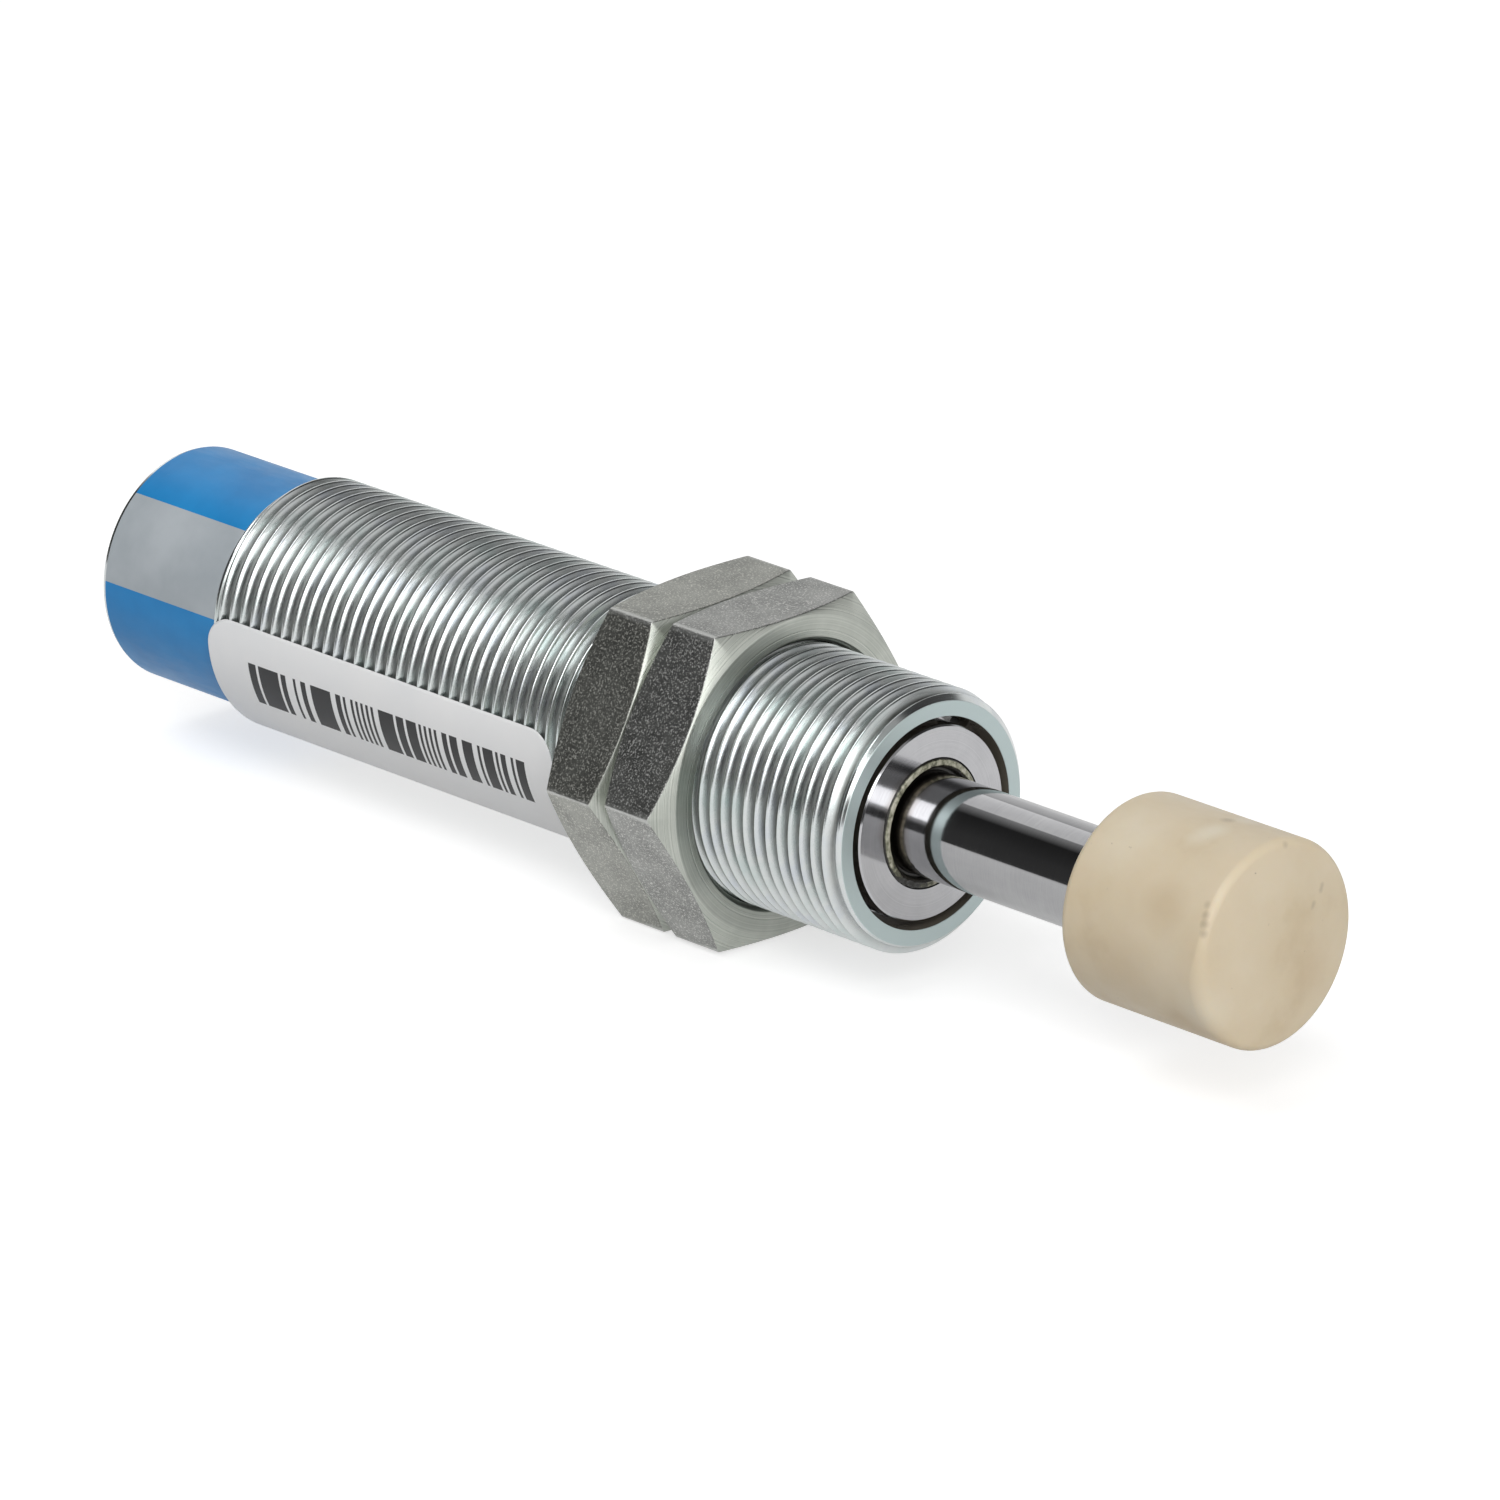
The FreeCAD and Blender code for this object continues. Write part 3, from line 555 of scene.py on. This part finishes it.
def soiled_wiper():
    """Whitish plastic, blackened where the mark of dirt and a noise together are high."""
    material, tree, shader = new_material("soiled_wiper_plastic", IOR=1.48)
    patch = noise(tree, place(tree), 1500, 6, 0.7)
    tone = weighted(tree, marked(tree, "dirt"), 0.45, patch, 0.9)
    colour = shades(tree, tone, (0.37, (0.55, 0.53, 0.44)), (0.46, (0.33, 0.33, 0.24)),
                    (0.56, (0.10, 0.10, 0.065)), (0.70, (0.016, 0.015, 0.012)))
    rough = shades(tree, tone, (0.4, grey(0.55)), (0.7, grey(0.25)))
    link_look(tree, shader, colour, rough, patch, 0.6, 0.00012)
    return material


new_piece("wiper", wiper_mesh(), soiled_wiper(), "body", "wiper_ring", slot="wiper_plastic")


# Return spring: drawn spring steel wire, wound in six turns. It sits between the base and the piston
# nut and pushes the rod out again, so it is squeezed as the rod goes in.
SPRING_SEATS = (-90.8, -52.5)
SPRING_WIRE, SPRING_RADIUS, SPRING_TURNS = 0.9, 4.8, 6
SPRING_ROWS, SPRING_COLUMNS = 241, 12


def spring_mesh():
    """Tube round a helix. The first parameter runs along the wire and the second round it. A point
    is the helix's own point, plus half the wire's width times the cosine of the second away from
    the axis, and times its sine across the wire. Both ends close on the wire's middle."""
    turn = np.linspace(0, 2 * math.pi * SPRING_TURNS, SPRING_ROWS)
    turn = np.concatenate([turn[:1], turn, turn[-1:]])[:, None]
    around = np.linspace(0, 2 * math.pi, SPRING_COLUMNS, endpoint=False)[None, :]
    half = np.full(turn.shape, SPRING_WIRE / 2)
    half[[0, -1]] = 0
    rise = (SPRING_SEATS[1] - SPRING_SEATS[0] - SPRING_WIRE) / (2 * math.pi * SPRING_TURNS)
    slant = math.atan2(rise, SPRING_RADIUS)
    out, across = SPRING_RADIUS + half * np.cos(around), half * np.sin(around)
    x = SPRING_SEATS[0] + SPRING_WIRE / 2 + rise * turn + across * math.cos(slant)
    y = out * np.cos(turn) + across * math.sin(slant) * np.sin(turn)
    z = out * np.sin(turn) - across * math.sin(slant) * np.cos(turn)
    return new_mesh("coil_spring", np.stack([x, y, z], axis=-1), grid_faces(*x.shape))


spring_steel = worn_steel("spring_steel", (0.30, 0.30, 0.31), (0.46, 0.46, 0.47), 0.35, scale=2500)
coil_spring = new_piece("coil_spring", spring_mesh(), spring_steel, "body", "return_spring",
                        slot="spring_steel")
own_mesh(coil_spring)


# Piston with its ring, valve ring and nut, clamped to the neck of the rod inside the body.
dress(inner_steel, "piston", "piston_nut")
dress(bronze, "piston_ring")
dress(spring_steel, "check_ring")


# Piston rod: hard chrome on steel, ground and polished to a mirror. A groove near its front end
# takes the ring that holds the cap.
ROD_RADIUS, ROD_SOFTNESS = 5.0, 0.05
NECK = ((-52.8, 0), (-52.8, 3.2), (-52.5, 3.5), (-41.7, 3.5))
GROOVE_REAR, GROOVE_FRONT, GROOVE_RADIUS = 33.5, 34.6, 4.3
ROD_TIP = ((37.7, ROD_RADIUS), (38.3, 4.4), (38.3, 0))


def rod_mesh():
    """Turned profile from the neck's tip to the front end inside the cap."""
    profile = softened([
        *NECK, (NECK[-1][0], ROD_RADIUS), (GROOVE_REAR, ROD_RADIUS), (GROOVE_REAR, GROOVE_RADIUS),
        (GROOVE_FRONT, GROOVE_RADIUS), (GROOVE_FRONT, ROD_RADIUS), *ROD_TIP],
        ROD_SOFTNESS, ring=False)
    points = turned_points(profile)
    return new_mesh("chromed_rod", points, grid_faces(*points.shape[:2]))


def hard_chrome():
    """Mirror chrome with faint grinding lines round it and a few smears. Within 2 mm of where the
    rod leaves the wiper it turns brown and duller, with a ragged edge."""
    material, tree, shader = new_material("hard_chrome", Metallic=1.0)
    lines = noise(tree, place(tree, (1, 0.03, 0.03)), 12000, 2)
    smear = noise(tree, place(tree, (0.4, 1, 1)), 300, 5, 0.6)
    tone = weighted(tree, lines, 0.4, smear, 0.6)
    chrome = shades(tree, tone, (0.35, (0.37, 0.37, 0.38)), (0.65, (0.44, 0.44, 0.445)))
    # A brown, duller band next to the wiper, fading out within 2 mm along the rod.
    ragged = weighted(tree, coordinate(tree, "X"), 330, smear, 0.5)
    brown_band = shades(tree, ragged, (0.55, grey(0.75)), (0.95, grey(0.0)))
    colour = mixed(tree, brown_band, chrome, (0.19, 0.155, 0.125, 1))
    rough = shades(tree, tone, (0.35, grey(0.04)), (0.7, grey(0.10)))
    rough = mixed(tree, brown_band, rough, (*grey(0.26), 1))
    link_look(tree, shader, colour, rough, lines, 0.04, 0.00001)
    return material


new_piece("chromed_rod", rod_mesh(), hard_chrome(), "rod", "piston_rod", slot="rod_chrome")


# Buffer cap: moulded or turned from a cream engineering plastic, with soft edges and a slightly
# crowned striking face. It is pushed over the end of the rod, where a wire ring holds it.
CAP_RADIUS = 10.1
CAP_REAR, CAP_FRONT = 26.3, 45.0
CAP_REAR_EDGE, CAP_FRONT_EDGE, CAP_WORN_EDGE, CAP_CROWN = 1.0, 0.85, 0.8, 0.75
CAP_CROWN_ROWS, CAP_ARC_ROWS, CAP_SIDE_ROWS, CAP_REAR_ROWS = 24, 41, 20, 13
CAP_WORN_MIDDLE, CAP_WORN_WIDTH = 205, 30
CAP_RIDGE, CAP_RIDGE_ARC, CAP_RIDGE_ROUND = 0.005, (52, 9), (135, 40)
SOCKET_RADIUS, SOCKET_END, SOCKET_SOFTNESS = 5.02, 38.3, 0.1
SOCKET_GROOVE = ((33.48, SOCKET_RADIUS), (33.48, 5.52), (34.62, 5.52), (34.62, SOCKET_RADIUS))
CAP_MARKS = (
    ((37.1, 0.9, 10.1), 0.9, 0.30), ((43.2, -8.2, 5.9), 0.5, 0.22), ((43.5, -8.7, 5.1), 0.55, 0.30),
    ((43.7, -9.1, 4.4), 0.6, 0.40), ((43.9, -9.4, 3.6), 0.55, 0.35), ((44.4, -9.9, -0.4), 0.5, 0.20),
    ((44.6, 5.6, 4.5), 0.4, 0.25), ((44.6, 5.4, 4.1), 0.4, 0.25), ((44.7, 4.3, 3.1), 0.4, 0.25),
    ((44.7, 4.1, 2.8), 0.35, 0.2), ((44.3, 1.0, 9.6), 0.5, 0.25))
CAP_STAINS = (
    ((38.6, -8.9, 4.8), 3.2, 0.25), ((44.6, 3.6, -4.0), 3.4, 0.26), ((44.8, 2.5, -1.0), 5.0, 0.14),
    ((34.0, -9.8, -2.5), 5.0, 0.20), ((41.0, -7.0, -7.2), 4.0, 0.26))
# Pale spots: those on the top and towards the rear are painted sheen; the one at the worn front edge
# is wear.
CAP_SHEEN_AND_WORN_SPOTS = (
    ((37.5, -3.2, 9.6), 1.8, 0.40), ((37.9, -1.6, 10.0), 1.8, 0.45), ((38.2, 2.2, 9.8), 1.6, 0.40),
    ((30.5, -5.5, 8.5), 5.0, 0.35), ((43.5, -9.0, -4.5), 3.5, 0.35))


def cap_mesh():
    """Grid of profile rows by angles round the axis. The striking face is a parabola. It meets, with
    the same slope, an arc that turns to the side, and the arc's radius grows by a bell curve of the
    angle where the edge has worn. Behind come the side, a quarter circle, the rear face and the
    socket. A low ridge on the arc is a bell curve along it times one round the axis."""
    around = np.linspace(0, 360, COLUMNS, endpoint=False)[None, :]
    edge = CAP_FRONT_EDGE + CAP_WORN_EDGE * np.exp(-((around - CAP_WORN_MIDDLE) / CAP_WORN_WIDTH) ** 4)
    rim = CAP_RADIUS - edge
    start = np.arctan(2 * CAP_CROWN / rim)
    swing = start + (math.pi / 2 - start) * np.linspace(0, 1, CAP_ARC_ROWS)[:, None]
    share = np.linspace(0, 1, CAP_CROWN_ROWS, endpoint=False)[:, None]
    crown_x, crown_r = CAP_FRONT - CAP_CROWN * share ** 2, share * (rim + edge * np.sin(start))
    ridge = CAP_RIDGE * np.exp(-((np.degrees(swing) - CAP_RIDGE_ARC[0]) / CAP_RIDGE_ARC[1]) ** 2)
    ridge = ridge * np.exp(-((around - CAP_RIDGE_ROUND[0]) / CAP_RIDGE_ROUND[1]) ** 4)
    arc_x = CAP_FRONT - CAP_CROWN + edge * (np.cos(swing) - np.cos(start)) + ridge * np.cos(swing)
    arc_r = rim + (edge + ridge) * np.sin(swing)
    back = np.linspace(0, 1, CAP_SIDE_ROWS)[1:-1, None]
    side_x = arc_x[-1:] * (1 - back) + (CAP_REAR + CAP_REAR_EDGE) * back
    quarter = np.linspace(0, math.pi / 2, CAP_REAR_ROWS)
    rear = np.stack([
        CAP_REAR + CAP_REAR_EDGE * (1 - np.sin(quarter)),
        CAP_RADIUS - CAP_REAR_EDGE * (1 - np.cos(quarter))], axis=-1)
    socket = softened([
        (CAP_REAR, CAP_RADIUS - CAP_REAR_EDGE), (CAP_REAR, SOCKET_RADIUS), *SOCKET_GROOVE,
        (SOCKET_END, SOCKET_RADIUS), (SOCKET_END, 0)], SOCKET_SOFTNESS, ring=False)
    turned = np.concatenate([rear, socket[1:]])
    even = np.ones((1, COLUMNS))
    x = np.concatenate([crown_x * even, arc_x, side_x, turned[:, :1] * even])
    radius = np.concatenate([crown_r, arc_r, CAP_RADIUS * np.ones_like(side_x), turned[:, 1:] * even])
    angle = np.radians(around)
    points = np.stack([x, radius * np.cos(angle), radius * np.sin(angle)], axis=-1)
    return new_mesh("cream_cap", points, grid_faces(*x.shape))


def spot_share(tree, where, centre, size, strength):
    """Strength at a point on the cap, falling off smoothly to nothing at the given size from it."""
    away = node(tree, "VectorMath", {0: where, 1: [MM * c for c in centre]}, output="Value",
                operation="DISTANCE")
    return shades(tree, sums(tree, "DIVIDE", away, size * MM), (0.25, grey(strength)), (1.0, grey(0)))


def cream_plastic():
    """Cream plastic that lets a little light in, with soft stains, a few small dark marks and pale
    spots: painted sheen on the top and the rear of the cap, and wear at the worn front edge."""
    material, tree, shader = new_material(
        "cream_plastic", IOR=1.5, Subsurface_Weight=0.25, Subsurface_Scale=0.0025)
    shader.inputs["Subsurface Radius"].default_value = (1.0, 0.7, 0.4)
    stain = noise(tree, place(tree), 70, 5, 0.6)
    fine = noise(tree, place(tree, (0.5, 1, 1)), 800, 5, 0.65)
    speck = noise(tree, place(tree), 1500, 3, 0.5)
    colour = shades(tree, stain, (0.32, (0.58, 0.465, 0.30)), (0.5, (0.67, 0.565, 0.40)),
                    (0.68, (0.70, 0.60, 0.44)))
    where = place(tree)
    for spots, tint in ((CAP_STAINS, (0.50, 0.36, 0.20, 1)), (CAP_SHEEN_AND_WORN_SPOTS, (0.78, 0.73, 0.60, 1)),
                        (CAP_MARKS, (0.20, 0.15, 0.10, 1))):
        for centre, size, strength in spots:
            colour = mixed(tree, spot_share(tree, where, centre, size, strength), colour, tint)
    specks = shades(tree, speck, (0.745, grey(0.0)), (0.78, grey(0.5)))
    colour = mixed(tree, specks, colour, (0.16, 0.12, 0.08, 1))
    rough = shades(tree, fine, (0.3, grey(0.36)), (0.7, grey(0.52)))
    link_look(tree, shader, colour, rough, fine, 0.12, 0.00004)
    return material


new_piece("cream_cap", cap_mesh(), cream_plastic(), "rod", "buffer_cap", slot="cap_plastic")
dress(spring_steel, "cap_ring")


# Lock nuts: cut from hexagon bar, both faces turned to a cone, tapped and zinc plated. Their flats
# are grainy from the bar, their cones and faces show fine turning rings. They are jammed together.
NUT_FLATS, NUT_THICK, NUT_BORE = 31.7, 8.0, 12.98
NUT_FACE, NUT_CONE = 15.6, math.tan(math.radians(23))
NUT_CORNER_ROUND, NUT_SINK = 0.3, 0.5
NUT_CORNER_ANGLES = (0, 0.15, 0.3, 0.45, 0.6, 0.8, 1.05, 1.4, 1.9)
HALF_FLAT = math.radians(30)
WALL_MARK = 0.72
FRONT_NUT_X, FRONT_NUT_TURN, REAR_NUT_TURN = -18.3, 0.7, 2.6


def hexagon_reach(from_corner):
    """Distance from the axis to a hexagon with rounded corners, by the angle from the nearest
    corner: a circle round a point inside the corner, or else half the width over flats divided
    by the cosine of the angle from the middle of the flat."""
    tip = (NUT_FLATS / 2 - NUT_CORNER_ROUND) / math.cos(HALF_FLAT)
    meet = math.atan2(NUT_CORNER_ROUND / 2, tip + NUT_CORNER_ROUND * math.cos(HALF_FLAT))
    inside = np.clip(NUT_CORNER_ROUND ** 2 - (tip * np.sin(from_corner)) ** 2, 0, None)
    arc = tip * np.cos(from_corner) + np.sqrt(inside)
    flat = NUT_FLATS / 2 / np.cos(HALF_FLAT - from_corner)
    return np.where(from_corner < meet, arc, flat)


def nut_mesh(name, front, turn):
    """Ring-shaped grid. Round the axis the outer wall follows the hexagon. Along the profile the
    rows run over the bore, the countersinks, the faces, the cones and the wall, and small steps
    beside each edge break it. The cone falls back by its slope times the reach past the face."""
    sixth = np.concatenate([NUT_CORNER_ANGLES, np.linspace(2.6, 30, 18)])
    half = np.radians(np.concatenate([-sixth[:0:-1], sixth[:-1]]))
    angle = np.concatenate([half + k * math.pi / 3 for k in range(6)])
    reach = hexagon_reach(np.abs(np.tile(half, 6)))
    drop = (reach - NUT_FACE) * NUT_CONE
    ones = np.ones_like(reach)
    half_x = NUT_THICK / 2
    rows = [
        (0 * ones, NUT_BORE * ones, 0),
        ((half_x - NUT_SINK) * ones, NUT_BORE * ones, 0),
        (half_x * ones, (NUT_BORE + NUT_SINK) * ones, 0),
        (half_x * ones, (NUT_BORE + 0.56) * ones, 0.3),
        (half_x * ones, (NUT_FACE - 0.1) * ones, 0.3),
        ((half_x - 0.005) * ones, NUT_FACE * ones, 0.5),
        (half_x - 0.1 * NUT_CONE - 0.005, NUT_FACE + np.minimum(0.1, 0.4 * (reach - NUT_FACE)), 0.6),
        (half_x - (reach - 0.09 - NUT_FACE) * NUT_CONE, reach - 0.09, 0.6),
        (half_x - drop - 0.01, reach - 0.03, 0.8),
        (half_x - drop - 0.05, reach, 1.0),
        (half_x - drop - 0.12, reach, 1.0),
    ]
    middle = [((half_x - drop - 0.12) * s, reach, 1.0) for s in (0.6, 0.2)]
    front_rows = rows + middle
    x = np.stack([np.broadcast_to(r[0], reach.shape) for r in front_rows])
    radius = np.stack([r[1] for r in front_rows])
    wall = np.stack([np.full_like(reach, r[2]) for r in front_rows])
    x = np.concatenate([x, -x[:0:-1]])
    radius = np.concatenate([radius, radius[:0:-1]])
    wall = np.concatenate([wall, wall[:0:-1]])
    around = angle + math.radians(turn)
    points = np.stack([
        x + front - half_x, radius * np.cos(around), radius * np.sin(around)], axis=-1)
    from_corner = np.broadcast_to(np.degrees(np.abs(np.tile(half, 6))), radius.shape)
    return new_mesh(name, points, grid_faces(*radius.shape, ring=True),
                    {"wall": wall, "from_corner": from_corner})


def nut_steel(name, dark_flat, pale_flat, glint_speck_tone):
    """Zinc on hexagon bar. The flats carry a grain on a dark ground, whose dense pale specks are
    painted glints, and they turn paler in a narrow band along the corners. The cones and faces carry
    fine rings by the distance from the axis."""
    material, tree, shader = new_material(name, Metallic=1.0)
    is_wall = sums(tree, "GREATER_THAN", marked(tree, "wall"), WALL_MARK)
    grain = noise(tree, place(tree), 5200, 3, 0.6)
    cloud = noise(tree, place(tree), 240, 5, 0.6)
    rings = turning_rings(tree, 7000.0)
    ground = shades(tree, cloud, (0.35, dark_flat), (0.68, pale_flat))
    # Painted glints: the grain's dense pale specks on the flats.
    flats = mixed(tree, shades(tree, grain, (0.54, grey(0.0)), (0.62, grey(0.85))),
                  ground, (*glint_speck_tone, 1))
    turned_zinc = shades(tree, weighted(tree, rings, 0.6, cloud, 0.4),
                         (0.35, (0.40, 0.425, 0.385)), (0.65, (0.60, 0.62, 0.57)))
    # The flats turn paler in a narrow band along each corner.
    edge = shades(tree, weighted(tree, marked(tree, "from_corner"), 0.12, cloud, 0.6),
                  (0.34, grey(0.75)), (0.46, grey(0.0)))
    flats = mixed(tree, edge, flats, (0.62, 0.63, 0.61, 1))
    colour = mixed(tree, is_wall, turned_zinc, flats)
    rough_wall = shades(tree, grain, (0.45, grey(0.36)), (0.65, grey(0.52)))
    rough_turned = shades(tree, rings, (0.3, grey(0.26)), (0.7, grey(0.40)))
    rough = mixed(tree, is_wall, rough_turned, rough_wall)
    height = mixed(tree, is_wall, rings, grain)
    link_look(tree, shader, colour, rough, height, 0.35, 0.00005)
    return material


new_piece("front_nut", nut_mesh("front_nut", FRONT_NUT_X, FRONT_NUT_TURN),
          nut_steel("front_nut_zinc", (0.23, 0.235, 0.225), (0.38, 0.385, 0.37), (0.74, 0.74, 0.72)),
          "front_nut", "front_lock_nut", slot="nut_steel")
new_piece("rear_nut", nut_mesh("rear_nut", FRONT_NUT_X - NUT_THICK, REAR_NUT_TURN),
          nut_steel("rear_nut_zinc", (0.24, 0.245, 0.225), (0.37, 0.375, 0.345), (0.68, 0.68, 0.63)),
          "rear_nut", "rear_lock_nut", slot="nut_steel")


# Studio: a white table under the object, four soft lamps above and around it, and a surround
# that is pale near the horizon and darker above. It has two black screens, which draw the dark
# bands on the chrome and the thread.
SURROUND = ((0.0, 0.95), (0.10, 0.85), (0.38, 0.76), (0.75, 0.36))
BLACK_SCREENS = (
    ((-0.702, -0.702, 0.12), 0.53, 0.71, 0.07), ((0.345, 0.655, 0.672), 0.87, 0.93, 0.12),
    ((0.72, -0.69, 0.06), 0.97, 0.985, 0.08))
TABLE_TONE, TABLE_GLOW, TABLE_GLOW_IN_METAL = 0.62, 0.62, 0.36
TABLE_GAP, TABLE_SIDE = 0.0002, 3.0
LAMP_AIM = (-0.03, 0, 0)


def studio_world():
    """White for what the camera sees. For light, a grey by the height of the direction. A screen
    darkens it from its rim to its core, both given as cosines of the angle from its middle."""
    world = bpy.data.worlds.new("studio")
    bpy.context.scene.world = world
    world.use_nodes = True
    tree = world.node_tree
    direction = node(tree, "TexCoord", {}, output="Generated")
    up = node(tree, "SeparateXYZ", {"Vector": direction}, output="Z")
    surround = shades(tree, up, *[(height, grey(tone)) for height, tone in SURROUND])
    for middle, rim, core, tone in BLACK_SCREENS:
        toward = node(tree, "VectorMath", {0: direction, 1: middle}, output="Value",
                      operation="DOT_PRODUCT")
        shade = shades(tree, toward, (rim, grey(1)), (core, grey(tone)))
        surround = mixed(tree, 1.0, surround, shade, blend="MULTIPLY")
    seen = node(tree, "LightPath", {}, output="Is Camera Ray")
    background = tree.nodes["Background"]
    tree.links.new(mixed(tree, seen, surround, (1, 1, 1, 1)), background.inputs["Color"])
    background.inputs["Strength"].default_value = 1.0


def white_table():
    """Flat sheet under the nuts. Part of its white is its own for camera, glossy and see-through
    rays, so that it renders white and keeps a faint shadow."""
    low, side = cad_box[0][2] - TABLE_GAP, TABLE_SIDE
    mesh = bpy.data.meshes.new("table")
    mesh.from_pydata([(-side, -side, low), (side, -side, low), (side, side, low), (-side, side, low)],
                     [], [(0, 1, 2, 3)])
    table = bpy.data.objects.new("table", mesh)
    bpy.context.scene.collection.objects.link(table)
    material, tree, shader = new_material(
        "table_white", Base_Color=(TABLE_TONE, TABLE_TONE, TABLE_TONE, 1), Roughness=0.9)
    strength = 0.0
    for kind, share in (("Is Camera Ray", TABLE_GLOW), ("Is Glossy Ray", TABLE_GLOW_IN_METAL),
                        ("Is Transmission Ray", TABLE_GLOW)):
        ray = node(tree, "LightPath", {}, output=kind)
        strength = sums(tree, "MAXIMUM", strength, sums(tree, "MULTIPLY", ray, share))
    glow = node(tree, "Emission", {"Color": (1, 1, 1, 1), "Strength": strength})
    both = node(tree, "AddShader", {0: shader.outputs[0], 1: glow})
    tree.links.new(both, tree.nodes["Material Output"].inputs["Surface"])
    mesh.materials.append(material)


def soft_lamp(name, position, size, radiance):
    """Square lamp that looks at the middle of the object. Its watts are its radiance times pi times
    its area."""
    lamp = bpy.data.lights.new(name, "AREA")
    lamp.size = size
    lamp.energy = radiance * math.pi * size ** 2
    holder = bpy.data.objects.new(name, lamp)
    bpy.context.scene.collection.objects.link(holder)
    holder.location = position
    aim = Vector(LAMP_AIM) - Vector(position)
    holder.rotation_euler = aim.to_track_quat("-Z", "Y").to_euler()


studio_world()
white_table()
soft_lamp("lamp_over_camera", (0.72, -0.72, 0.74), 0.7, 3.4)
soft_lamp("lamp_above_left", (-0.15, -0.42, 0.80), 0.5, 3.2)
soft_lamp("lamp_ahead", (0.97, -0.14, 0.25), 0.42, 2.6)
soft_lamp("lamp_behind_left", (-0.70, 0.34, 0.70), 0.5, 0.62)


# Camera: where the photograph was taken from, with a long lens. Its place, turn, rise and lens
# follow from the thread's pitch and the outlines of the round parts.
CAMERA_PLACE = (0.699605, -0.707091, 0.373144)
CAMERA_TURN, CAMERA_RISE = math.radians(45.7108), math.radians(20.2069)
CAMERA_LENS = 272.48
CAMERA_SHIFT = (0.00463, 0.00152)

camera = bpy.data.cameras.new("camera")
camera.lens = CAMERA_LENS
camera.sensor_width = 36
camera.shift_x, camera.shift_y = CAMERA_SHIFT
camera.clip_start = 0.05
camera_holder = bpy.data.objects.new("camera", camera)
bpy.context.scene.collection.objects.link(camera_holder)
camera_holder.location = CAMERA_PLACE
look = Vector((-math.sin(CAMERA_TURN) * math.cos(CAMERA_RISE),
               math.cos(CAMERA_TURN) * math.cos(CAMERA_RISE), -math.sin(CAMERA_RISE)))
camera_holder.rotation_euler = look.to_track_quat("-Z", "Y").to_euler()
bpy.context.scene.camera = camera_holder
bpy.context.scene.view_settings.view_transform = "Standard"
